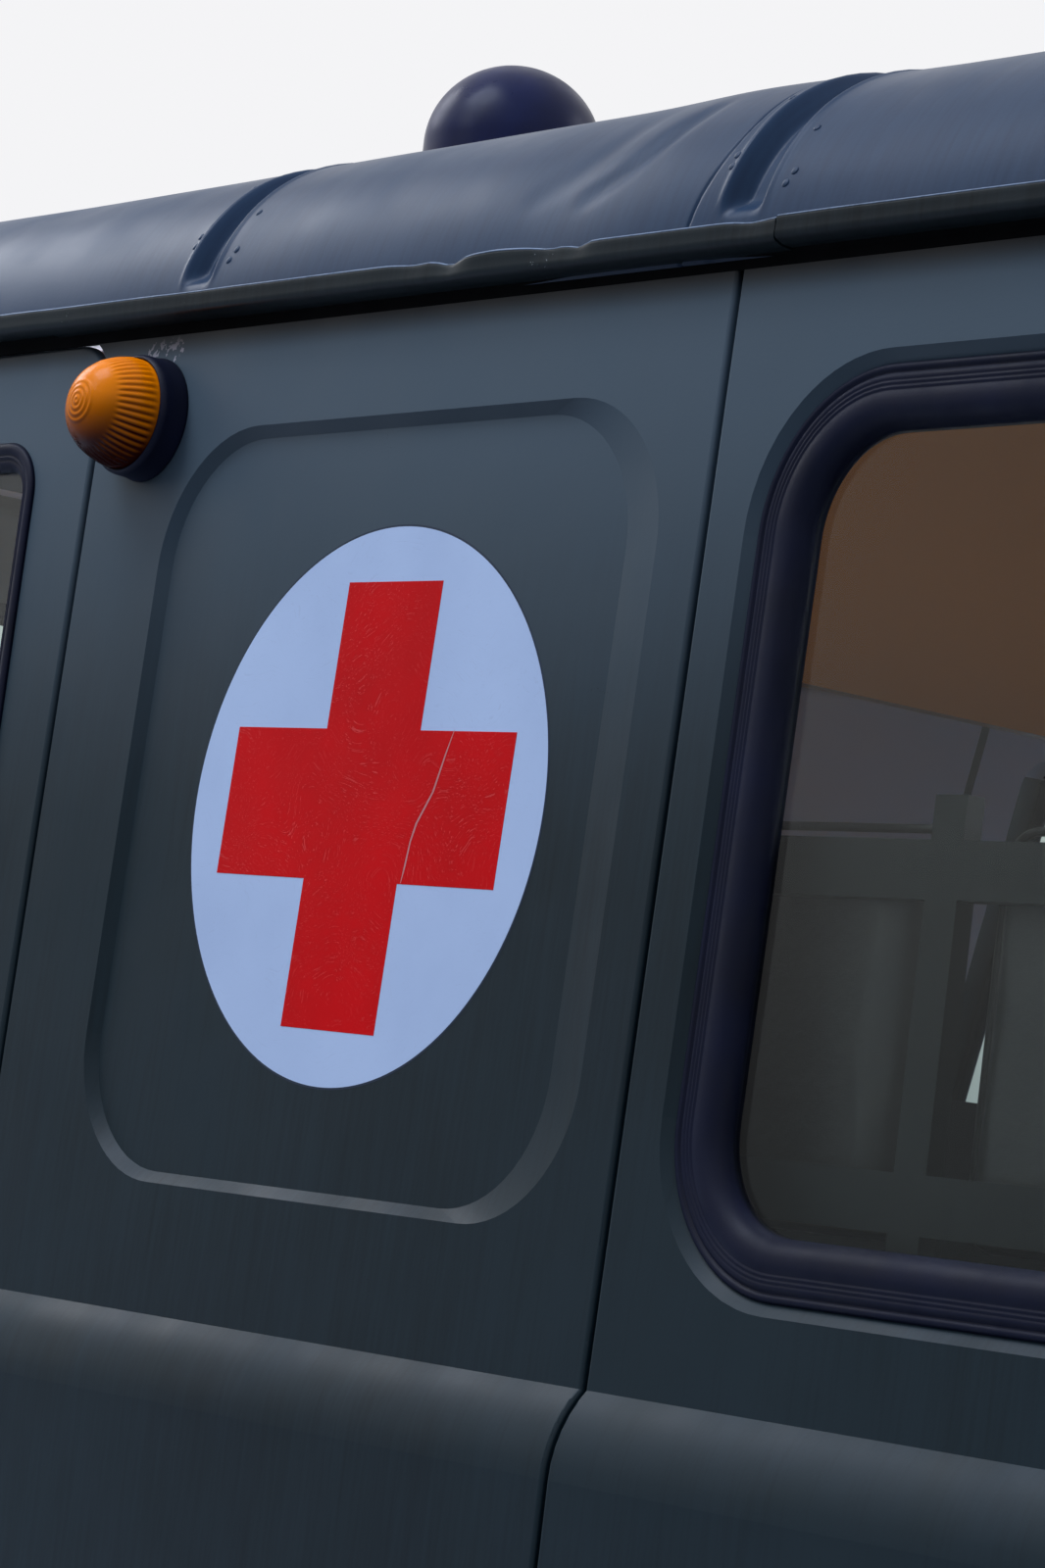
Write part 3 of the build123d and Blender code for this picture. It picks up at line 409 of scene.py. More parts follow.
class Surface:
    """A material in the making: its tree, its shader and the coordinates its patterns follow."""

    def __init__(self, name: str) -> None:
        """Start an empty material with its shader linked to the output.

        Args:
            name: Name of the material.
        """
        self.material = bpy.data.materials.new(name)
        self.material.use_nodes = True
        self.tree = self.material.node_tree
        self.tree.nodes.clear()
        self.shader = put(self.tree, "ShaderNodeBsdfPrincipled")
        put(self.tree, "ShaderNodeOutputMaterial", {"Surface": self.shader})
        self.place = put(self.tree, "ShaderNodeTexCoord").outputs["Object"]

    def add(self, kind: str, inputs: Inputs | None = None, **settings: object) -> Node:
        """Add one shader node, named without its ShaderNode, to this material."""
        return put(self.tree, f"ShaderNode{kind}", inputs, **settings)

    def set(self, **inputs: object) -> None:
        """Set the shader's inputs.

        Args:
            **inputs: Values or sockets by the input's name, with underscores for spaces.
        """
        feed(self.tree, self.shader, {name.replace("_", " "): value for name, value in inputs.items()})

    def clouds(
        self,
        size_mm: float,
        detail: float = 4.0,
        low: float = 0.0,
        high: float = 1.0,
        stretch: Triple = (1, 1, 1),
    ) -> Source:
        """Soft random patches of one size.

        Args:
            size_mm: Width of a patch.
            detail: Octaves of finer patches.
            low: Value in the darkest patch.
            high: Value in the lightest patch.
            stretch: Frequency of the patches along each axis.

        Returns:
            The socket with the patches' value.
        """
        place = self.add("Mapping", {"Vector": self.place, "Scale": stretch})
        noise = self.add("TexNoise", {"Vector": place, "Scale": per_metre(size_mm), "Detail": detail})
        return self.add("MapRange", {"Value": noise, "From Min": 0.3, "From Max": 0.7, "To Min": low, "To Max": high})

    def between(self, amount: Source, first: str | Source, second: str | Source) -> Source:
        """Mix two colours by an amount; each is a hex colour or a socket."""
        a, b = (linear(c) if isinstance(c, str) else c for c in (first, second))
        return self.add("Mix", {"Factor": amount, 6: a, 7: b}, data_type="RGBA").outputs[2]

    def bump(self, height: Source, depth_mm: float, over: Source | None = None) -> Source:
        """Make a relief.

        Args:
            height: Where it is high and low.
            depth_mm: How deep it is.
            over: Normal of another relief that it lies on.

        Returns:
            Its normal.
        """
        inputs: Inputs = {"Height": height, "Distance": depth_mm * MM, "Strength": 1.0}
        if over is not None:
            inputs["Normal"] = over
        return self.add("Bump", inputs)

    def specks(self, size_mm: float, share: float) -> Source:
        """Small sharp spots, gathered in patches forty times as wide.

        Args:
            size_mm: Width of a spot.
            share: Rough share of the surface that they cover.

        Returns:
            1 on the spots and 0 between them.
        """
        fine = self.add("TexNoise", {"Vector": self.place, "Scale": per_metre(size_mm), "Detail": 3.0})
        wide = self.add("TexNoise", {"Vector": self.place, "Scale": per_metre(size_mm * 40), "Detail": 2.0})
        both = self.add("Math", {0: fine, 1: wide}, operation="MULTIPLY")
        edge = 0.5 - share
        return self.add("MapRange", {"Value": both, "From Min": edge, "From Max": edge + 0.02})

    def facing_up(self) -> Source:
        """How far each part faces up, from -1 to 1."""
        normal = self.add("NewGeometry").outputs["Normal"]
        return self.add("SeparateXYZ", {0: normal}).outputs[2]

    def dust_and_sheen_on_top(self, amount: float) -> Source:
        """How much dust lies on each part, more where it faces up; a bluish dust tone also paints sky sheen there.

        Args:
            amount: Share of dust on a level face.

        Returns:
            The share at each place.
        """
        level = self.add("MapRange", {"Value": self.facing_up(), "To Min": 0.15, "To Max": 1.0})
        patchy = self.clouds(60, 6.0, 0.3, 1.0)
        both = self.add("Math", {0: level, 1: patchy}, operation="MULTIPLY")
        return self.add("Math", {0: both, 1: amount}, operation="MULTIPLY")


@dataclass(frozen=True)
class Enamel:
    """Sprayed enamel on pressed or forged steel: semi-matt, clouded, dusty and chipped.

    The eye sees broad soft highlights, faint orange peel and pale dust on what faces up; a bluish dust tone there is
    partly painted sky sheen.
    """

    name: str
    colour: str
    faded: str
    dust: str = "#7D8078"
    primer: str = "#A5A7A4"
    roughness: Pair = (0.36, 0.5)
    peel_mm: float = 2.6
    peel_depth_mm: float = 0.02
    dust_and_sheen_share: float = 0.25
    chips: float = 0.0
    gloss: float = 0.3
    upper_tone: str = ""
    upper_tone_m: Pair = (1.42, 1.86)
    # Adds knocked flakes and dark specks, and painted shade under the drip rail.
    wear_and_rail_shade: bool = False
    lining: str = ""

    def material(self) -> Material:
        """Build the material."""
        made = Surface(self.name)
        patches = made.clouds(420, 5.0)
        streaks = made.clouds(16, 3.0, 0.0, 0.35, (1.0, 1.0, 0.08))
        runs = made.clouds(4.5, 3.0, -0.25, 0.35, (0.05, 1.0, 0.05))
        rain = made.add("Math", {0: streaks, 1: runs}, operation="ADD")
        fade = made.add("Math", {0: patches, 1: rain}, operation="ADD", use_clamp=True)
        paint = made.between(fade, self.colour, self.faded)
        # A second tone comes in towards the top; on the army enamel it is painted light, the walls lighter where the
        # sky lights them.
        if self.upper_tone:
            paint = made.between(self.rise(made, *self.upper_tone_m), paint, self.upper_tone)
        # Dust on upward faces; the bluish dust tones of the army and roof finishes are partly painted sky sheen.
        paint = made.between(made.dust_and_sheen_on_top(self.dust_and_sheen_share), paint, self.dust)
        if self.chips > 0:
            paint = made.between(made.specks(2.2, self.chips), paint, self.primer)
        if self.wear_and_rail_shade:
            paint = made.between(self.flaked(made), paint, "#C4BCBE")
            paint = made.between(made.specks(1.6, 0.004), paint, "#05090A")
        if self.lining:
            paint = made.between(self.inside(made), paint, self.lining)
        # Painted shade: the wall goes black under the drip rail, where the rail's shadow falls.
        if self.wear_and_rail_shade:
            paint = made.between(self.shade_under_rail(made), paint, "#020203")
        made.set(Base_Color=paint, Roughness=made.clouds(90, 6.0, *self.roughness), Specular_IOR_Level=self.gloss)
        peel = made.bump(made.clouds(self.peel_mm, 2.0), self.peel_depth_mm)
        made.set(Normal=made.bump(made.clouds(140, 2.0), 0.35, peel))
        return made.material

    def rise(self, made: Surface, low: float, high: float) -> Source:
        """Amount that goes smoothly from 0 to 1 with the height.

        Args:
            made: The material in the making.
            low: Height in metres where it leaves 0.
            high: Height in metres where it comes to 1.

        Returns:
            The amount at each place.
        """
        height = made.add("SeparateXYZ", {0: made.place}).outputs[2]
        span = {"Value": height, "From Min": low, "From Max": high}
        return made.add("MapRange", span, interpolation_type="SMOOTHSTEP")

    def shade_under_rail(self, made: Surface) -> Source:
        """Painted shade under the drip rail: black on the wall where the rail's shadow falls; it ends at the rail's
        lip.
        """
        ends = {0: self.rise(made, 1.838, 1.864), 1: self.rise(made, 1.8745, 1.8755)}
        return made.add("Math", ends, operation="SUBTRACT", use_clamp=True)

    def inside(self, made: Surface) -> Source:
        """1 on faces that look towards the middle of the vehicle: its inner skin.

        Args:
            made: The material in the making.

        Returns:
            1 or 0 at each place.
        """
        normal = made.add("TexCoord").outputs["Normal"]
        way = made.add("VectorMath", {0: made.place, 1: (0.0, 0.0, 1.2)}, operation="SUBTRACT")
        across = made.add("VectorMath", {0: way, 1: (1.0, 0.0, 1.0)}, operation="MULTIPLY")
        dot = made.add("VectorMath", {0: across, 1: normal}, operation="DOT_PRODUCT")
        return made.add("Math", {0: dot.outputs["Value"], 1: -0.3}, operation="LESS_THAN")

    def flaked(self, made: Surface) -> Source:
        """Small bare flakes over the left side lamp, where ladders have knocked the paint.

        Args:
            made: The material in the making.

        Returns:
            1 on the flakes and 0 elsewhere.
        """
        away = made.add("VectorMath", {0: made.place, 1: (0.917, -0.775, 1.85)}, operation="DISTANCE")
        fall = {"Value": away.outputs["Value"], "From Min": 0.025, "From Max": 0.07, "To Min": 1.0, "To Max": 0.0}
        near = made.add("MapRange", fall)
        noise = made.add("TexNoise", {"Vector": made.place, "Scale": per_metre(6.0), "Detail": 2.0})
        both = made.add("Math", {0: noise, 1: near}, operation="MULTIPLY")
        return made.add("MapRange", {"Value": both, "From Min": 0.605, "From Max": 0.63})


@dataclass(frozen=True)
class Moulded:
    """Moulded rubber or plastic: one colour, fine texture, a little dust in it."""

    name: str
    colour: str
    faded: str
    roughness: Pair
    grain: Grain = Grain.PEBBLE
    grain_mm: float = 1.5
    grain_depth_mm: float = 0.05
    dust_and_sheen_share: float = 0.12
    gloss: float = 0.25

    def material(self) -> Material:
        """Build the material."""
        made = Surface(self.name)
        base = made.between(made.clouds(70, 6.0), self.colour, self.faded)
        made.set(
            Base_Color=made.between(made.dust_and_sheen_on_top(self.dust_and_sheen_share), base, "#77756C"),
            Roughness=made.clouds(30, 5.0, *self.roughness),
            Specular_IOR_Level=self.gloss,
        )
        if self.grain is Grain.PEBBLE:
            size = {"Vector": made.place, "Scale": per_metre(self.grain_mm)}
            cells = made.add("TexVoronoi", size, feature="SMOOTH_F1")
            made.set(Normal=made.bump(cells.outputs["Distance"], self.grain_depth_mm))
        elif self.grain is Grain.CAST:
            made.set(Normal=made.bump(made.clouds(self.grain_mm, 3.0), self.grain_depth_mm))
        return made.material


@dataclass(frozen=True)
class Lens:
    """Injection-moulded lamp lens: glossy, with light inside the plastic, and painted shade that darkens the faces
    that look down.
    """

    name: str
    colour: str
    deep: str
    glow: float = 0.35
    roughness: float = 0.16
    scuff_mm: float = 3.0

    def material(self) -> Material:
        """Build the material."""
        made = Surface(self.name)
        # Painted shade: faces that look down take the deep colour and faces that look up the full one, as light falls
        # from above.
        lit = made.add("MapRange", {"Value": made.facing_up(), "From Min": -0.75, "From Max": 0.2})
        tone = made.between(lit, self.deep, self.colour)
        made.set(
            Base_Color=tone,
            Roughness=made.clouds(self.scuff_mm, 6.0, self.roughness, self.roughness + 0.14),
            IOR=1.49,
            Subsurface_Weight=self.glow,
            Subsurface_Radius=(1.0, 0.45, 0.1),
            Subsurface_Scale=0.012,
            Specular_IOR_Level=0.08,
            Coat_Weight=0.03,
            Coat_Roughness=0.1,
        )
        made.set(Normal=made.bump(made.clouds(9, 3.0), 0.03))
        return made.material


@dataclass(frozen=True)
class PrintedVinyl:
    """Cut self-adhesive vinyl, years old: smooth, slightly glossy, with fine swirled scratches."""

    name: str
    colour: str
    shade: str
    scratch: str
    scratching: float
    sweep_mm: float = 90.0
    bend_m: float = 0.16

    def material(self) -> Material:
        """Build the material."""
        made = Surface(self.name)
        base = made.between(made.clouds(120, 5.0), self.colour, self.shade)
        sweep = {"Vector": made.place, "Scale": per_metre(self.sweep_mm), "Detail": 1.0}
        bent = made.add("TexNoise", sweep).outputs["Color"]
        pushed = made.add("VectorMath", {0: bent, 1: (self.bend_m,) * 3}, operation="MULTIPLY")
        place = made.add("VectorMath", {0: made.place, 1: pushed}, operation="ADD")
        total = None
        for turn, size in ((0.5, 1.6), (-0.35, 2.3), (1.25, 3.1)):
            drawn = {"Vector": place, "Rotation": (turn, 0.0, 0.0), "Scale": (1.0, 0.035, 1.0)}
            lines = made.add("Mapping", drawn)
            fine = {"Vector": lines, "Scale": per_metre(size), "Detail": 3.0, "Roughness": 0.7}
            noise = made.add("TexNoise", fine)
            sharp = made.add("MapRange", {"Value": noise, "From Min": 0.62, "From Max": 0.68})
            if total is None:
                total = sharp
            else:
                total = made.add("Math", {0: total, 1: sharp}, operation="MAXIMUM")
        where = made.clouds(70, 3.0, 0.2, 1.0)
        marks = made.add("Math", {0: total, 1: where}, operation="MULTIPLY")
        faint = made.add("Math", {0: marks, 1: self.scratching}, operation="MULTIPLY")
        made.set(
            Base_Color=made.between(faint, base, self.scratch),
            Roughness=made.clouds(45, 5.0, 0.3, 0.42),
            Specular_IOR_Level=0.1,
        )
        made.set(Normal=made.bump(total, -0.03, made.bump(made.clouds(4, 2.0), 0.015)))
        return made.material


@dataclass(frozen=True)
class SafetyGlass:
    """Toughened sheet glass, a little dusty, with a faint green tint in its depth."""

    name: str = "toughened_glass"
    tint: str = "#DDE6E2"
    dust: float = 0.012

    def material(self) -> Material:
        """Build the material."""
        made = Surface(self.name)
        made.set(
            Base_Color=linear(self.tint),
            Roughness=made.clouds(25, 6.0, 0.0, self.dust),
            Transmission_Weight=1.0,
            IOR=1.25,
        )
        made.set(Normal=made.bump(made.clouds(260, 2.0), 0.25))
        return made.material


@dataclass(frozen=True)
class RolledSteel:
    """Bare mild steel, dulled by weather, with brown rust where the film has worn."""

    name: str
    colour: str
    rust: str
    rusting: float
    roughness: Pair = (0.4, 0.7)

    def material(self) -> Material:
        """Build the material."""
        made = Surface(self.name)
        worn = {0: made.clouds(26, 8.0), 1: self.rusting}
        rusty = made.add("Math", worn, operation="MULTIPLY", use_clamp=True)
        bare = made.add("Math", {0: 1.0, 1: rusty}, operation="SUBTRACT")
        made.set(
            Base_Color=made.between(rusty, self.colour, self.rust),
            Metallic=bare,
            Roughness=made.clouds(40, 6.0, *self.roughness),
        )
        made.set(Normal=made.bump(made.clouds(1.8, 4.0), 0.08))
        return made.material


@dataclass(frozen=True)
class Woven:
    """Plain-woven cloth, drawn about as coarse as its own thread so that the weave shows."""

    name: str
    warp: str
    weft: str
    thread_mm: float
    sheen: float = 0.2

    def material(self) -> Material:
        """Build the material."""
        made = Surface(self.name)
        waves = []
        for axis in ("X", "Y"):
            size = {"Vector": made.place, "Scale": per_metre(self.thread_mm) / 20, "Distortion": 0.6, "Detail": 1.0}
            wave = made.add("TexWave", size, wave_type="BANDS", bands_direction=axis)
            waves.append(wave.outputs["Fac"])
        weave = made.add("Math", {0: waves[0], 1: waves[1]}, operation="MULTIPLY")
        thread = made.between(weave, self.warp, self.weft)
        worn = made.between(made.clouds(60, 6.0, 0.0, 0.5), thread, "#6F6C5F")
        made.set(Base_Color=worn, Roughness=0.88, Sheen_Weight=self.sheen, Sheen_Roughness=0.5)
        made.set(Normal=made.bump(weave, 0.35))
        return made.material


@dataclass(frozen=True)
class CoatedCloth:
    """Leather-grained vinyl cloth: creased, satin, scuffed along its crowns."""

    name: str
    colour: str
    scuffed: str
    grain_mm: float = 1.8

    def material(self) -> Material:
        """Build the material."""
        made = Surface(self.name)
        size = {"Vector": made.place, "Scale": per_metre(self.grain_mm), "Randomness": 0.9}
        cells = made.add("TexVoronoi", size, feature="DISTANCE_TO_EDGE")
        made.set(
            Base_Color=made.between(made.clouds(110, 6.0), self.colour, self.scuffed),
            Roughness=made.clouds(50, 5.0, 0.42, 0.62),
            Coat_Weight=0.08,
            Coat_Roughness=0.4,
        )
        creases = made.bump(made.clouds(28, 3.0), 0.5)
        made.set(Normal=made.bump(cells.outputs["Distance"], 0.12, creases))
        return made.material


class Finishes:
    """Every finish of the vehicle, built once."""

    def __init__(self) -> None:
        """Build the materials."""
        # The army enamel's upper tone is painted light: the walls lighten towards the roof as the sky lights them from
        # above.
        self.army = Enamel(
            "field_green_enamel", "#0C191C", "#17262A", dust="#475C70", dust_and_sheen_share=0.16, upper_tone="#505E66", gloss=0.16,
            # The army walls take painted shade under the drip rail.
            wear_and_rail_shade=True, lining="#9DA2B8",
        ).material()
        # The roof's blue base, faded and dust tones are a painted sky reflection on its enamel.
        self.roof = Enamel(
            "weathered_roof_enamel", "#182B42", "#22384F", dust="#3E566F", dust_and_sheen_share=0.1, gloss=0.12,
            roughness=(0.3, 0.42), lining="#B9BED2",
        ).material()
        self.inner = Enamel("inner_enamel", "#343A38", "#414744", chips=0.01, dust_and_sheen_share=0.15).material()
        self.chassis = Enamel(
            "chassis_enamel", "#17181A", "#222224", dust="#5A554B", dust_and_sheen_share=0.45, chips=0.03
        ).material()
        self.handle = Enamel("worn_handle_enamel", "#1B1D1D", "#34383A", chips=0.16).material()
        # The partition board turns orange-brown towards the top.
        self.board = Enamel(
            "partition_board", "#0E0F10", "#17191A", dust="#3A3D40", dust_and_sheen_share=0.05, upper_tone="#A8600A", gloss=0.1
        ).material()
        self.frames = Enamel("frame_enamel", "#16191A", "#202425", dust="#3A3D40", dust_and_sheen_share=0.1, gloss=0.2).material()
        self.rail = Enamel(
            "worn_gutter_enamel", "#0A0F10", "#1C2426", dust="#3A4648", dust_and_sheen_share=0.04, chips=0.03, gloss=0.12
        ).material()
        # Pale bluish enamel for the top bead of the gutter lip: a painted highlight where the rolled edge catches the
        # light.
        self.edge_highlight = Enamel(
            "worn_edge_enamel", "#4A5868", "#7C8CA0", dust_and_sheen_share=0.04, chips=0.05, gloss=0.2
        ).material()
        self.engine = Enamel("engine_enamel", "#50595A", "#3A3D3A", roughness=(0.3, 0.6), dust_and_sheen_share=0.3).material()
        self.wheel = Enamel("wheel_enamel", "#363F40", "#434C4D", dust_and_sheen_share=0.35, chips=0.05).material()
        self.steel = RolledSteel("dull_steel", "#8F8E8B", "#5B3B28", 0.35).material()
        self.rusty = RolledSteel("exhaust_steel", "#6D6862", "#593A29", 0.95, (0.6, 0.85)).material()
        self.bright = RolledSteel("chromed_reflector", "#D5D7D8", "#9A9A98", 0.0, (0.06, 0.12)).material()
        self.rubber = Moulded(
            "weathered_seal_rubber", "#070B1C", "#0E1329", (0.4, 0.6), dust_and_sheen_share=0.03, gloss=0.12
        ).material()
        # Matt black strip under the drip rail: a sheet of painted shade where the rail's shadow falls.
        self.rail_shade_strip = Moulded(
            "bedding_mastic", "#010101", "#040404", (0.85, 0.95), dust_and_sheen_share=0.0, gloss=0.05
        ).material()
        self.tyre = Moulded(
            "tyre_rubber", "#1A1A1B", "#262524", (0.62, 0.85), Grain.CAST, 1.2, 0.12, dust_and_sheen_share=0.4
        ).material()
        self.plastic = Moulded("black_moulding", "#131314", "#1D1D1F", (0.3, 0.48)).material()
        self.mat = Moulded(
            "floor_matting", "#232423", "#2F302E", (0.6, 0.85), Grain.CAST, 4.0, 0.3, dust_and_sheen_share=0.4
        ).material()
        self.amber = Lens("amber_acrylic", "#FF8600", "#500E00", glow=0.0).material()
        self.red_lens = Lens("red_acrylic", "#8E1014", "#5E0A0C").material()
        self.navy = Moulded(
            "navy_dome_plastic", "#081030", "#0F1A42", (0.26, 0.4), Grain.SMOOTH, dust_and_sheen_share=0.02, gloss=0.14
        ).material()
        self.clear_lens = Lens("fluted_lamp_glass", "#D9DEDE", "#C3C9C9", glow=0.0, roughness=0.05).material()
        self.glass = SafetyGlass().material()
        # The white vinyl's bluish tint is painted skylight; the vinyl itself is white.
        self.white = PrintedVinyl("white_vinyl", "#CEDEF5", "#C4D4EC", "#B4C0D4", 0.25).material()
        self.red = PrintedVinyl("red_vinyl", "#EA0008", "#D40006", "#F07068", 0.38).material()
        self.scratched = PrintedVinyl("scratched_vinyl", "#D9958F", "#CF817B", "#E6B4AE", 0.4).material()
        self.outline = Moulded("sticker_edge", "#1E2A3A", "#232F40", (0.5, 0.6), Grain.SMOOTH).material()
        self.vinyl = CoatedCloth("black_seat_cloth", "#1B1B1C", "#2B2A29").material()
        self.canvas = Woven("olive_canvas", "#4D5040", "#5D604C", 1.2).material()


# The pieces of the vehicle


def rounded(corners: Profile, radius: float, shrink: float = 0.0, steps: int = 12) -> Profile:
    """Closed outline with an arc at each corner.

    Args:
        corners: Corners of the outline, anticlockwise, convex.
        radius: Radius of each corner.
        shrink: How far the outline is drawn in; the arcs keep their centres.
        steps: Points of each arc.

    Returns:
        The points of the outline, anticlockwise.
    """
    path: Profile = []
    for before, here, after in zip(corners[-1:] + corners[:-1], corners, corners[1:] + corners[:1]):
        spot = Vector(here)
        back, ahead = (Vector(before) - spot).normalized(), (Vector(after) - spot).normalized()
        half = back.angle(ahead) / 2
        centre = spot + (back + ahead).normalized() * radius / sin(half)
        start = spot + back * radius / tan(half) - centre
        first, sweep = atan2(start.y, start.x), pi - 2 * half
        for k in range(steps + 1):
            turn = first + sweep * k / steps
            path.append((centre.x + (radius - shrink) * cos(turn), centre.y + (radius - shrink) * sin(turn)))
    return path


def oblong(width: float, height: float) -> Profile:
    """Corners of a rectangle about the origin, anticlockwise."""
    w, h = width / 2, height / 2
    return [(-w, -h), (w, -h), (w, h), (-w, h)]


def level_path(outline: Profile) -> np.ndarray:
    """Points of an outline on the level, in metres."""
    return np.array([(x * MM, y * MM, 0.0) for x, y in outline])


def coordinates(mesh: Mesh) -> np.ndarray:
    """Read the points of a mesh.

    Args:
        mesh: The mesh.

    Returns:
        One row for each point.
    """
    flat = np.empty(len(mesh.vertices) * 3)
    mesh.vertices.foreach_get("co", flat)
    return flat.reshape(-1, 3)


def move_to(mesh: Mesh, points: np.ndarray) -> Mesh:
    """Give a mesh new points in the same order.

    Args:
        mesh: The mesh; it is changed in place.
        points: One row for each point.

    Returns:
        The same mesh.
    """
    mesh.vertices.foreach_set("co", points.astype(float).ravel())
    mesh.update()
    return mesh


def merged(name: str, meshes: list[Mesh]) -> Mesh:
    """Make one mesh out of several.

    Args:
        name: Name of the new mesh.
        meshes: The meshes; the first one's materials stay.

    Returns:
        The new mesh.
    """
    form = bmesh.new()
    for mesh in meshes:
        form.from_mesh(mesh)
    whole = bpy.data.meshes.new(name)
    for finish in meshes[0].materials:
        whole.materials.append(finish)
    form.to_mesh(whole)
    form.free()
    return whole


def placed(mesh: Mesh, frame: Matrix) -> Mesh:
    """Copy a mesh into a frame.

    Args:
        mesh: The mesh.
        frame: Where it goes; a frame that mirrors is allowed.

    Returns:
        The copy, its faces outwards.
    """
    twin = mesh.copy()
    twin.transform(frame)
    if frame.to_3x3().determinant() < 0:
        twin.flip_normals()
    return twin


def slab(name: str, outline: Profile, low: float, high: float, frame: Matrix) -> Mesh:
    """Raise a flat outline between two heights over a frame.

    Args:
        name: Name of the mesh.
        outline: Its points in millimetres.
        low: Height of its underside in millimetres.
        high: Height of its top in millimetres.
        frame: Where it lies.

    Returns:
        The closed mesh, flat-shaded.
    """
    count = len(outline)
    points = [frame @ Vector((x * MM, y * MM, h * MM)) for h in (low, high) for x, y in outline]
    faces = [tuple(range(count)), tuple(range(count, 2 * count))]
    faces += [(k, (k + 1) % count, count + (k + 1) % count, count + k) for k in range(count)]
    mesh = mesh_of(name, np.array(points), faces)
    mesh.shade_flat()
    return mesh


def turned_piece(name: str, profile: Profile, steps: int, frame: Matrix) -> Mesh:
    """Turn a form in a frame.

    Args:
        name: Name of the mesh.
        profile: Radius and height of each point in millimetres; it starts and ends on its axis.
        steps: Points round the turn.
        frame: Where it stands.

    Returns:
        The closed mesh.
    """
    points, faces = turned([(max(r, 0.0005) * MM, z * MM) for r, z in profile], steps)
    count = len(points)
    caps = [tuple(range(steps - 1, -1, -1)), tuple(range(count - steps, count))]
    mesh = mesh_of(name, points, faces + caps)
    mesh.transform(frame)
    return mesh


def oval(half_wide: float, half_high: float, steps: int) -> Profile:
    """Points of an ellipse, or of a circle, anticlockwise."""
    turns = [2 * pi * k / steps for k in range(steps)]
    return [(half_wide * cos(turn), half_high * sin(turn)) for turn in turns]


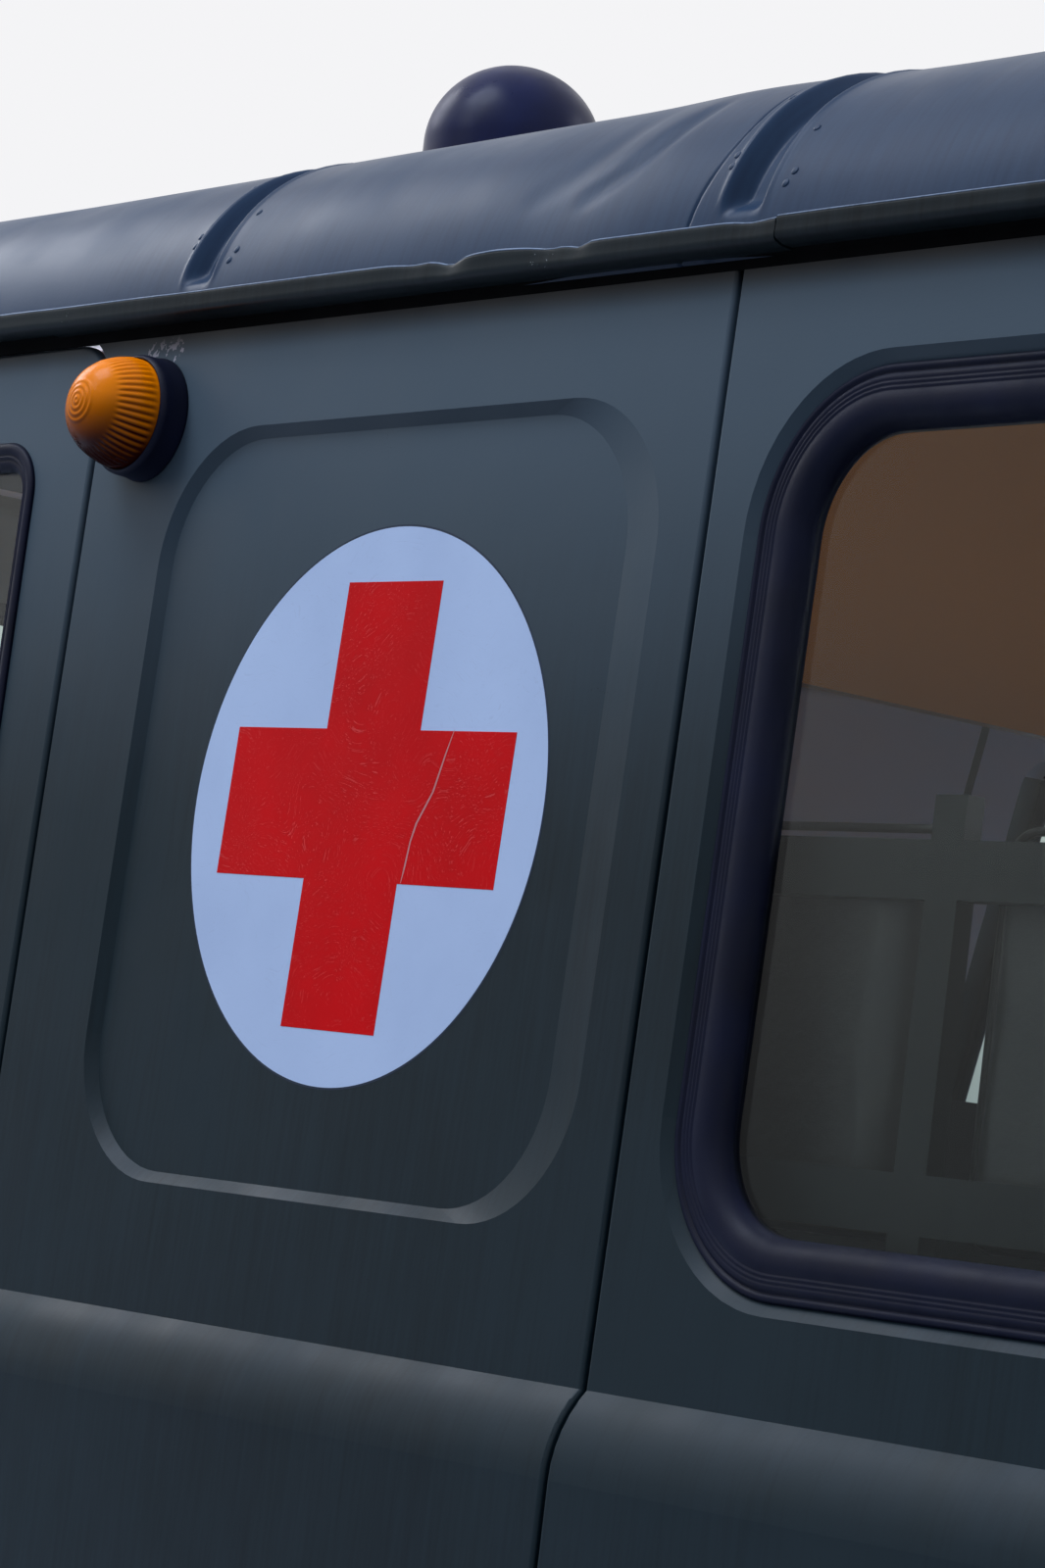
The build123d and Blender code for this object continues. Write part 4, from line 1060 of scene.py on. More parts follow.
@dataclass(frozen=True)
class BodyShape:
    """The body above its belt, as the frame has it: leaning walls, raked front, crowned roof."""

    belt_x: float = 938.0
    belt_z: float = 1080.0
    front_y: float = -2065.0
    rear_y: float = 2100.0
    lean: float = 24.0 / 796.0
    rake: float = tan(radians(15.0))
    front_r: float = 265.0
    rear_r: float = 185.0
    roof_z: float = 2095.0
    crown_r: float = 5170.0
    edge_r: float = 150.0
    wall_t: float = 42.0

    def place(self, spot: Vector, outwards_dir: Vector, along: Vector, out: float) -> Matrix:
        """Matrix of a place on a wall.

        Args:
            spot: Place on the skin.
            outwards_dir: Direction that becomes local z.
            along: Direction that becomes local x.
            out: Distance outside the skin.

        Returns:
            The matrix, in metres.
        """
        frame = Matrix((along, outwards_dir.cross(along), outwards_dir)).transposed().to_4x4()
        frame.translation = (spot + outwards_dir * out) * MM
        return frame

    def side(self, y: float, z: float, out: float = 0.0, hand: int = 1) -> Matrix:
        """Place on a leaning side wall.

        Args:
            y: Place along the vehicle.
            z: Height.
            out: Distance outside the skin.
            hand: 1 for the left wall, -1 for the right one.

        Returns:
            The matrix; on the left side its local x runs rearwards.
        """
        slant = atan2(self.lean, 1)
        spot = Vector((hand * (self.belt_x - (z - self.belt_z) * self.lean), y, z))
        return self.place(spot, Vector((hand * cos(slant), 0, sin(slant))), Vector((0, hand, 0)), out)

    def screen(self, x: float, z: float, out: float = 0.0) -> Matrix:
        """Place on the raked front.

        Args:
            x: Place across the vehicle.
            z: Height.
            out: Distance outside the skin.

        Returns:
            The matrix; its local x runs to the vehicle's left.
        """
        spot = Vector((x, self.front_y + (z - self.belt_z) * self.rake, z))
        turn = atan(self.rake)
        return self.place(spot, Vector((0, -cos(turn), sin(turn))), Vector((1, 0, 0)), out)

    def tail(self, x: float, z: float, out: float = 0.0) -> Matrix:
        """Place on the leaning tail.

        Args:
            x: Place across the vehicle.
            z: Height.
            out: Distance outside the skin.

        Returns:
            The matrix; its local x runs to the vehicle's right.
        """
        slant = atan2(self.lean, 1)
        spot = Vector((x, self.rear_y - (z - self.belt_z) * self.lean, z))
        return self.place(spot, Vector((0, cos(slant), sin(slant))), Vector((-1, 0, 0)), out)

    def wall_gap(self, p: np.ndarray) -> tuple[np.ndarray, np.ndarray, np.ndarray]:
        """Measure how far points lie outside the four walls.

        Args:
            p: One point in each row.

        Returns:
            The distances, and the sideways and the upward part of the walls' normal.
        """
        up, front = p[:, 2] - self.belt_z, p[:, 1] < 0
        r = np.where(front, self.front_r, self.rear_r)
        slope = np.where(front, self.rake, self.lean)
        end = np.where(front, -self.front_y, self.rear_y) - up * slope
        qx = np.abs(p[:, 0]) - (self.belt_x - up * self.lean - r)
        qy = np.abs(p[:, 1]) - (end - r)
        ox, oy = np.maximum(qx, 0), np.maximum(qy, 0)
        far = np.hypot(ox, oy)
        gap = far + np.minimum(np.maximum(qx, qy), 0) - r
        safe = np.maximum(far, 1e-9)
        nx = np.where(far > 1e-9, ox / safe, (qx > qy) * 1.0)
        ny = np.where(far > 1e-9, oy / safe, (qx <= qy) * 1.0)
        lift = nx * self.lean + ny * slope
        k = 1 / np.sqrt(1 + lift * lift)
        return gap * k, nx * k * np.sign(p[:, 0]), lift * k

    def gap(self, p: np.ndarray) -> np.ndarray:
        """Measure how far points lie outside the rounded roof and walls.

        Args:
            p: One point in each row.

        Returns:
            The distances; negative inside.
        """
        a, side_x, side_z = self.wall_gap(p)
        low = self.roof_z - self.crown_r
        reach = np.hypot(p[:, 0], p[:, 2] - low)
        b = reach - self.crown_r
        c = side_x * p[:, 0] / reach + side_z * (p[:, 2] - low) / reach
        over_a, over_b = a + self.edge_r, b + self.edge_r
        spread = np.maximum(over_a**2 + over_b**2 - 2 * over_a * over_b * c, 0)
        corner = np.sqrt(spread / (1 - c * c)) - self.edge_r
        both = (over_a > c * over_b) & (over_b > c * over_a) & ((over_a > 0) | (over_b > 0))
        return np.where(both, corner, np.maximum(a, b))


@dataclass
class Maker:
    """What each sub-assembly is made with: finishes, the two trees and the body's form."""

    finishes: Finishes
    sweeper: Sweeper
    repeater: Repeater
    shape: BodyShape = BodyShape()


def smooth_step(t: np.ndarray) -> np.ndarray:
    """Rise from 0 to 1 as t does, with level ends."""
    t = np.clip(t, 0, 1)
    return t * t * (3 - 2 * t)


def bell(t: np.ndarray) -> np.ndarray:
    """1 at t = 0, falling softly to both sides."""
    return np.exp(-(t**2))


@dataclass
class Roof(Maker):
    """Pressed roof sheet: grooves with rolled edges, a lapped joint, creases and soft waves."""

    shape: BodyShape = BodyShape(edge_r=178.0)
    low_z: float = 1869.0
    grooves: tuple[float, ...] = (-756.0, -90.0, 576.0, 1242.0)
    near_grooves: tuple[float, ...] = (-756.0, -90.0)
    groove_depth: float = 13.0
    groove_floor: float = 8.0
    groove_flank: float = 12.5
    groove_foot_z: float = 1924.0
    lip_rise: float = 1.3
    lip_away: float = 22.5
    around: int = 144
    crease: Places = ((905, -272, 1938), (898, -245, 1955), (888, -229, 1971), (866, -214, 1997), (846, -206, 2012))
    crease_depth: float = 9.0
    second_crease: Triple = (0.0, -64.0, 8.0)
    hollow_at: Triple = (880.0, -300.0, 1975.0)
    hollow_size: Triple = (90.0, 70.0, 60.0)
    hollow_depth: float = 3.0
    lap_y: float = -124.0
    lap_slant: float = 16.0
    lap_step: float = 1.5
    front_fall: float = 4.5
    closest_rows: float = 1.4
    spread: Pair = (900.0, 226.0)
    way_end: float = 1.3
    halvings: int = 34
    rivet_places: tuple[Pair, ...] = (
        (36, 0.15), (40, 0.175), (35, 0.27), (-27, 0.2), (-28, 0.225), (-27, 0.36), (36, 0.5),
    )

    def stations(self, front: float, rear: float) -> np.ndarray:
        """Places along the vehicle where the sheet has a row of points.

        Args:
            front: The first row.
            rear: The last row.

        Returns:
            The places, closer together at the ends, the grooves, the creases and the lap.
        """
        turn = np.linspace(0, pi / 2, 24)
        rows = [
            np.linspace(front, rear, 90),
            front + self.shape.front_r * (1 - np.cos(turn)),
            rear - self.shape.rear_r * (1 - np.cos(turn)),
            np.arange(-430, -150, 8.0),
            np.arange(-156, -108, 1.5),
        ]
        rows += [y + np.linspace(-30, 30, 41 if y in self.near_grooves else 17) for y in self.grooves]
        places = np.sort(np.concatenate(rows))
        keep = [places[0]]
        for y in places[1:]:
            if y - keep[-1] > self.closest_rows:
                keep.append(y)
        keep[-1] = rear
        return np.array(keep)

    def inward(self, p: np.ndarray) -> np.ndarray:
        """Measure how far the worked sheet lies inside the plain form.

        Args:
            p: One point in each row.

        Returns:
            The depth at each point.
        """
        y, z = p[:, 1], p[:, 2]
        depth = np.zeros(len(p))
        for middle in self.grooves:
            away = (np.abs(y - middle) ** 5 + np.maximum(0, self.groove_foot_z - z) ** 5) ** 0.2
            fall = np.clip((away - self.groove_floor) / self.groove_flank, 0, 1)
            depth += self.groove_depth * (0.45 * (1 - fall) + 0.55 * (1 - smooth_step(fall)))
            depth -= self.lip_rise * bell((away - self.lip_away) / 2.4) * smooth_step((z - 1900) / 24)
        lap = self.lap_y - self.lap_slant * smooth_step((1990 - z) / 100)
        near = (p[:, 0] > 0) * 1.0
        depth -= near * self.lap_step * smooth_step((y - lap) / 2) * (1 - smooth_step((y + 116) / 10))
        depth += near * 2.4 * bell((y - lap + 1.2) / 1.5)
        crease = np.array(self.crease, dtype=float)
        second = crease + np.array(self.second_crease)
        for line, deep, width in ((crease, self.crease_depth, 10.0), (second, 5.0, 14.0)):
            depth += deep * self.along(p, line, width)
        hollow = ((p - np.array(self.hollow_at)) / np.array(self.hollow_size)) ** 2
        depth += self.hollow_depth * np.exp(-hollow.sum(axis=1))
        depth += self.front_fall * (smooth_step((-500 - y) / 500) - bell((y + 190) / 130))
        waves = np.sin(y / 97 + 1.3) * np.sin(z / 61 + p[:, 0] / 143) + 0.6 * np.sin(y / 41 - p[:, 0] / 83)
        return depth + 0.3 * waves

    def along(self, p: np.ndarray, line: np.ndarray, width: float) -> np.ndarray:
        """Weigh points by how near they are to a line.

        Args:
            p: One point in each row.
            line: Points of the line.
            width: Distance over which the weight fades.

        Returns:
            Soft weights: 1 on the line, less towards its ends.
        """
        best = np.full(len(p), 1e9)
        share = np.zeros(len(p))
        for k in range(len(line) - 1):
            run = line[k + 1] - line[k]
            t = np.clip((p - line[k]) @ run / (run @ run), 0, 1)
            away = np.linalg.norm(p - line[k] - t[:, None] * run, axis=1)
            closer = away < best
            best = np.where(closer, away, best)
            share = np.where(closer, (k + t) / (len(line) - 1), share)
        return bell(best / width) * np.sin(pi * (0.12 + 0.76 * share))

    def reached(self, starts: np.ndarray, ways: np.ndarray, inset: float, worked: bool) -> np.ndarray:
        """Find where rays from inside the body come through a face of the sheet, by halving.

        Args:
            starts: Start of each ray.
            ways: Direction and length of each ray.
            inset: How far inside the plain form the face lies.
            worked: Whether the face has the grooves and dents.

        Returns:
            One point for each ray.
        """
        low, high = np.zeros(len(ways)), np.full(len(ways), self.way_end)
        for _ in range(self.halvings):
            middle = (low + high) / 2
            spot = starts + ways * middle[:, None]
            inside = self.shape.gap(spot) + inset + (self.inward(spot) if worked else 0.0) < 0
            low, high = np.where(inside, middle, low), np.where(inside, high, middle)
        return starts + ways * low[:, None]

    def sheet(self, rows: np.ndarray, inset: float, worked: bool) -> np.ndarray:
        """Find the points of one face of the sheet.

        Args:
            rows: Places of its rows along the vehicle.
            inset: How far inside the plain form the face lies.
            worked: Whether it has the grooves and dents.

        Returns:
            The points, row by row from the front, each row from left to right.
        """
        wide, tall = self.spread
        turn = np.linspace(0, pi, self.around + 1)
        ways = np.column_stack((wide * np.cos(turn), np.zeros_like(turn), tall * np.sin(turn)))
        starts = np.array([(0.0, y, self.low_z) for y in rows])
        points = self.reached(np.repeat(starts, len(turn), axis=0), np.tile(ways, (len(rows), 1)), inset, worked)
        points = points.reshape(len(rows), len(turn), 3)
        for end, beside in ((0, 1), (-1, -2)):
            reach = points[beside, 0, 0] * np.cos(turn)
            points[end] = np.column_stack((reach, np.full_like(turn, rows[end]), np.full_like(turn, self.low_z)))
        return points.reshape(-1, 3)

    def build(self) -> None:
        """Make the sheet with its inner face and closed rim."""
        shape = self.shape
        up = self.low_z - shape.belt_z
        front, rear = shape.front_y + up * shape.rake, shape.rear_y - up * shape.lean
        outer_rows = self.stations(front, rear)
        wall = shape.wall_t
        inner_rows = np.interp(outer_rows, (front, rear), (front + wall * 1.035, rear - wall))
        outer = self.sheet(outer_rows, 0.0, True)
        inner = self.sheet(inner_rows, wall, False)
        wide, long, count = self.around + 1, len(outer_rows), len(outer)
        faces: Faces = []
        for i in range(long - 1):
            for j in range(wide - 1):
                a = i * wide + j
                faces.append((a, a + 1, a + wide + 1, a + wide))
                faces.append((count + a, count + a + wide, count + a + wide + 1, count + a + 1))
        rim = list(range(0, wide)) + [i * wide + wide - 1 for i in range(1, long)]
        rim += [(long - 1) * wide + j for j in range(wide - 2, -1, -1)]
        rim += [i * wide for i in range(long - 2, 0, -1)]
        for a, b in zip(rim, rim[1:] + rim[:1]):
            faces.append((b, a, count + a, count + b))
        sheet = mesh_of("roof_sheet", np.vstack((outer, inner)) * MM, faces)
        add_piece("roof_sheet", sheet, self.finishes.roof, "body_paint", "body", "roof")
        self.rivets()

    def rivets(self) -> None:
        """Set the rivets beside each groove, where the roof bows are fixed."""
        wide, tall = self.spread
        starts, ways = [], []
        for middle in self.grooves:
            for side in (1, -1):
                for offset, rise in self.rivet_places:
                    turn = rise * pi / 2
                    starts.append((0.0, middle + offset, self.low_z))
                    ways.append((side * wide * cos(turn), 0.0, tall * sin(turn)))
        spots = self.reached(np.array(starts), np.array(ways), 0.0, True)
        slopes = np.column_stack([self.shape.gap(spots + step) - self.shape.gap(spots - step) for step in np.eye(3)])
        frames = []
        for spot, slope in zip(spots, slopes):
            normal = Vector(slope).normalized()
            frame = normal.to_track_quat("Z", "Y").to_matrix().to_4x4()
            frame.translation = (Vector(spot) - normal * 0.3) * MM
            frames.append(frame)
        crown = [(0, 0), (3.6, 0), (3.2, 0.6), (2.4, 1.0), (1.2, 1.3), (0, 1.4)]
        head = turned_piece("rivet_head", crown, 12, Matrix())
        mesh = self.repeater.repeat("roof_rivets", head, frames, self.finishes.roof)
        mesh.shade_smooth()
        add_piece("roof_rivets", mesh, self.finishes.roof, "body_paint", "body")


@dataclass
class Gutter(Maker):
    """Folded drip channel in four lapped lengths; its rolled lip is dented in places."""

    foot_z: float = 1869.0
    lip_out: float = 18.2
    lip_rise: float = 22.0
    joints: Pair = (-918.0, -26.0)
    lap: float = 18.0
    drop: float = 1.2
    step: float = 9.0
    dents: Places = (
        (-387, 7.5, 15), (-330, -3.4, 30), (-268, 3.6, 18), (-239, 5.5, 11), (-430, 2.6, 20), (-52, 3.0, 16),
    )

    def profile(self, out: float) -> Profile:
        """Section of the folded sheet; its lip hangs clear of the wall.

        Args:
            out: How far out the lip is.

        Returns:
            The outward and upward place of each point.
        """
        return [
            (-3, 3), (out - 7, 3.6), (out - 2.5, 5.4), (out, 6.4), (out + 1.2, 8), (out + 1.6, 12), (out + 1.3, 17.5),
            (out + 1.9, 20.2), (out + 1.4, 22), (out - 0.3, 22.8), (out - 1.9, 21.8), (out - 2.4, 19.6),
            (out - 1.3, 17), (out - 1.1, 10.5), (out - 2.6, 8.4), (out - 8, 6.2), (-3, 5.4),
        ]

    def ring(self) -> np.ndarray:
        """Points round the body at the gutter, anticlockwise from the front end of its left side."""
        up = self.foot_z - self.shape.belt_z
        half = self.shape.belt_x - up * self.shape.lean
        front = self.shape.front_y + up * self.shape.rake
        rear = self.shape.rear_y - up * self.shape.lean
        fr, rr = self.shape.front_r, self.shape.rear_r
        runs = [
            ((half, front + fr), (half, rear - rr)), ((half - rr, rear), (rr - half, rear)),
            ((-half, rear - rr), (-half, front + fr)), ((fr - half, front), (half - fr, front)),
        ]
        turns = [
            ((half - rr, rear - rr), rr, 0), ((rr - half, rear - rr), rr, 90),
            ((fr - half, front + fr), fr, 180), ((half - fr, front + fr), fr, 270),
        ]
        points = []
        for (start, end), (centre, radius, first) in zip(runs, turns):
            length = sqrt((end[0] - start[0]) ** 2 + (end[1] - start[1]) ** 2)
            count = max(2, round(length / self.step))
            for k in range(count):
                t = k / count
                points.append((start[0] + (end[0] - start[0]) * t, start[1] + (end[1] - start[1]) * t, self.foot_z))
            for k in range(25):
                a = radians(first + 90 * k / 24)
                points.append((centre[0] + radius * cos(a), centre[1] + radius * sin(a), self.foot_z))
        return np.array(points)

    def build(self) -> None:
        """Sweep the four lengths and knock their dents in."""
        ring = self.ring()
        ring = ring[np.r_[True, np.linalg.norm(np.diff(ring, axis=0), axis=1) > 0.5]]
        front, rear = self.joints
        on_left, y = ring[:, 0] > 0, ring[:, 1]
        order = {
            "left": (on_left & (y >= front - self.lap) & (y <= rear), 2.4),
            "right": (~on_left & (y >= front) & (y <= rear + self.lap), 2.4),
            "rear": (y >= rear + 1, 3.0),
            "front": (y <= front, 0.0),
        }
        lengths, edges = [], []
        for name, (chosen, extra) in order.items():
            index = np.nonzero(chosen)[0]
            gaps = np.nonzero(np.diff(index) > 1)[0]
            if len(gaps):
                index = np.concatenate((index[gaps[0] + 1 :], index[: gaps[0] + 1]))
            path = ring[index]
            if name == "left":
                path[-1, 1] = rear
                path[:, 2] -= self.drop
            if name == "rear":
                path[0, 1] = rear + 1.6
            out = self.lip_out + extra
            # The bead along the top of the lip takes the pale enamel: a painted highlight on the rolled edge.
            bead = [(out + 1.7, 21.6), (out + 0.9, 22.9), (out - 0.3, 23.3), (out - 1.0, 22.4)]
            for label, section, finish, made in (
                ("", self.profile(out), self.finishes.rail, lengths),
                ("_edge", bead, self.finishes.edge_highlight, edges),
            ):
                mesh = self.sweeper.sweep(f"gutter_{name}{label}", path * MM, section, False, finish)
                made.append(move_to(mesh, self.dented(coordinates(mesh), extra)))
        for name, meshes, finish in (
            ("gutter_lengths", lengths, self.finishes.rail), ("gutter_edges", edges, self.finishes.edge_highlight),
        ):
            add_piece(name, merged(name, meshes), finish, "body_paint", "body", "drip_rails")
        # A black band round the wall under the rail: painted shade where the rail's shadow falls.
        shade_section = [(-3, -7), (0.5, -7), (1.0, -5), (1.4, 0), (3, 2.6), (9, 4.6), (9, 5.6), (-3, 5)]
        mesh = self.sweeper.sweep("gutter_bedding", ring * MM, shade_section, True, self.finishes.rail_shade_strip)
        add_piece("gutter_bedding", mesh, self.finishes.rail_shade_strip, "seal_rubber", "body")

    def dented(self, points: np.ndarray, seed: float) -> np.ndarray:
        """Bend the lip as years of ladders do: small waves all along and dents on the left side.

        Args:
            points: Points of one length, in metres.
            seed: Shifts the waves, so that no two lengths match.

        Returns:
            The bent points, in metres.
        """
        p = points / MM
        up = np.clip((p[:, 2] - self.foot_z) / self.lip_rise, 0, 1) ** 2
        place = p[:, 1] + 0.7 * p[:, 0]
        wave = 0.5 * np.sin(place / 57 + seed) + 0.35 * np.sin(place / 23 + 2 * seed)
        left = p[:, 0] > 880
        bent = np.zeros(len(p))
        for y, deep, width in self.dents:
            bent += left * deep * bell((p[:, 1] - y) / width)
        outer = np.clip((np.abs(p[:, 0]) - 917) / 14, 0, 1) * up
        p[:, 2] -= up * (0.25 * wave + 0.55 * bent) * (p[:, 2] > self.foot_z + 3)
        p[:, 0] -= outer * (0.5 * np.abs(wave) + 0.6 * np.maximum(bent, -1.2)) * np.sign(p[:, 0])
        return p * MM


@dataclass
class Roundel(Maker):
    """The cross on its round field: two layers of cut vinyl on the floor of the pressed panel."""

    centre_y: float = -434.0
    centre_z: float = 1480.0
    field_r: float = 215.0
    edge_w: float = 1.6
    cross_len: float = 342.0
    arm_w: float = 115.4
    turn_deg: float = -0.71
    sunk: float = 8.0
    steps: int = 180

    def scratch(self) -> Profile:
        """Outline of the long light scratch across the right arm of the cross."""
        line = [(98, 58), (92, 40), (84, 12), (70, -12), (66, -26), (64, -44), (62, -57)]
        half = [0.35, 0.8, 1.0, 1.1, 0.8, 0.9, 0.3]
        left = [(x - h, y) for (x, y), h in zip(line, half)]
        right = [(x + h, y) for (x, y), h in zip(line, half)]
        return left + right[::-1]

    def build(self) -> None:
        """Make the edge, the field, the cross and its scratch."""
        long, short = self.cross_len / 2, self.arm_w / 2
        corner = [(long, short), (short, short), (short, long)]
        cross = [
            (sx * x, sy * y)
            for sx, sy, flip in ((1, 1, 1), (-1, 1, -1), (-1, -1, 1), (1, -1, -1))
            for x, y in corner[::flip]
        ]
        field = self.field_r - self.edge_w
        frame = self.shape.side(self.centre_y, self.centre_z, -self.sunk)
        frame @= Matrix.Rotation(radians(self.turn_deg), 4, "Z")
        for name, outline, low, high, finish in (
            ("roundel_edge", oval(self.field_r, self.field_r, self.steps), 0.02, 0.12, self.finishes.outline),
            ("roundel_field", oval(field, field, self.steps), 0.03, 0.3, self.finishes.white),
            ("roundel_cross", cross, 0.2, 0.5, self.finishes.red),
            ("roundel_scratch", self.scratch(), 0.4, 0.56, self.finishes.scratched),
        ):
            add_piece(name, slab(name, outline, low, high, frame), finish, "body_paint", "body")


@dataclass
class SideMarker(Maker):
    """Amber lamp: a fluted cone, a smooth round end with rings, and a thick dark rubber foot."""

    y: float = -781.0
    z: float = 1792.0
    foot_r: float = 50.0
    foot_h: float = 24.0
    lens_r: float = 45.5
    shoulder_r: float = 35.5
    shoulder_h: float = 56.0
    tip_h: float = 74.0
    dome_from: float = 0.3
    flutes: int = 46
    flute_deep: float = 1.4
    steps_per_flute: int = 6
    rings: int = 4
    ring_gap: float = 4.8

    def lens(self) -> Mesh:
        """The lens, its foot on z = 0."""
        foot, rise = self.foot_h, self.shoulder_h - self.foot_h
        profile: Profile = [(0, foot * 0.4), (self.lens_r - 1, foot * 0.4), (self.lens_r, foot + 0.5)]
        profile += [(self.lens_r - 0.6, foot + 2.2)]
        for k in range(1, 13):
            t = k / 12
            bow = 1.6 * sin(pi * t)
            profile.append(((self.lens_r - 0.6) * (1 - t) + self.shoulder_r * t + bow, foot + 2.2 + (rise - 2.2) * t))
        first = self.dome_from
        for k in range(1, 49):
            a = first + (pi / 2 - first) * k / 48
            r = self.shoulder_r * cos(a) / cos(first)
            inside = r < self.ring_gap * self.rings
            ring = 0.5 * (0.5 - 0.5 * cos(2 * pi * r / self.ring_gap)) if inside else 0.0
            share = (sin(a) - sin(first)) / (1 - sin(first))
            profile.append((r, self.shoulder_h + (self.tip_h - self.shoulder_h) * share + ring))
        mesh = turned_piece("marker_lens", profile, self.flutes * self.steps_per_flute, Matrix())
        points = coordinates(mesh) / MM
        radii, heights = np.hypot(points[:, 0], points[:, 1]), points[:, 2]
        on_cone = smooth_step((heights - foot - 2) / 4) * smooth_step((self.shoulder_h + 4 - heights) / 8)
        turns = np.arctan2(points[:, 1], points[:, 0])
        flute = self.flute_deep * np.abs(np.sin(turns * self.flutes / 2)) * on_cone
        points[:, :2] *= np.where(radii > 1, (radii + flute) / np.maximum(radii, 1), 1)[:, None]
        return move_to(mesh, points * MM)

    def foot(self) -> Mesh:
        """The rubber foot, a little squeezed where the lens is screwed down."""
        r, h = self.foot_r, self.foot_h
        profile = [
            (0, 0), (r + 1.2, 0), (r + 1.4, 2.2), (r + 0.3, 5), (r, h - 5), (r - 0.6, h - 2), (r - 2.4, h + 0.4),
            (self.lens_r + 1.2, h + 0.9), (self.lens_r + 0.3, h - 0.6), (self.lens_r + 0.2, h - 2), (0, h - 2),
        ]
        return turned_piece("marker_foot", profile, 96, Matrix())

    def build(self) -> None:
        """Make the lamps on both sides and the flatter ones on the nose."""
        frames = [self.shape.side(self.y, self.z, 0.0, hand) for hand in (1, -1)]
        facing = Matrix.Rotation(radians(90), 4, "X") @ Matrix.Diagonal((0.84, 0.84, 0.30, 1))
        frames += [Matrix.Translation((x * MM, -2090 * MM, 760 * MM)) @ facing for x in (650, -650)]
        for name, mesh, finish, slot in (
            ("marker_lenses", self.lens(), self.finishes.amber, "amber_lens"),
            ("marker_feet", self.foot(), self.finishes.rubber, "seal_rubber"),
        ):
            whole = merged(name, [placed(mesh, frame) for frame in frames])
            whole.shade_smooth()
            add_piece(name, whole, finish, slot, "body", "amber_lamps")


@dataclass
class Beacon(Maker):
    """Roof beacon: a glossy dark dome with a moulded rim on a round base."""

    y: float = -1521.0
    dome_r: float = 96.0
    dome_h: float = 92.0
    top_z: float = 2400.0
    foot_z: float = 2072.0
    foot_r: float = 98.0
    foot_top_z: float = 2220.0
    steps: int = 128

    def build(self) -> None:
        """Make the dome and its base."""
        frame = Matrix.Translation((0, self.y * MM, 0))
        middle, foot, wide = self.top_z - self.dome_h, self.foot_top_z, self.dome_r
        dome: Profile = [(0, foot - 4), (wide - 1, foot - 4), (wide - 0.6, foot + 9)]
        dome += [(wide - 0.8 + 0.8 * k / 6, foot + 9 + (middle - foot - 9) * k / 6) for k in range(1, 7)]
        quarter = [pi / 2 * k / 40 for k in range(1, 41)]
        dome += [(wide * cos(turn), middle + self.dome_h * sin(turn)) for turn in quarter]
        r, low = self.foot_r, self.foot_z
        base: Profile = [
            (0, low), (r, low), (r, foot - 30), (r - 1.2, foot - 28), (r - 1.2, foot - 25), (r, foot - 23),
            (r, foot - 6), (r - 1, foot - 2), (r - 3, foot), (wide + 0.6, foot), (wide + 0.3, foot - 3), (0, foot - 3),
        ]
        for name, profile, finish, slot in (
            ("beacon_dome", dome, self.finishes.navy, "navy_lens"),
            ("beacon_foot", base, self.finishes.plastic, "black_plastic"),
        ):
            add_piece(name, turned_piece(name, profile, self.steps, frame), finish, slot, "body", "beacon")


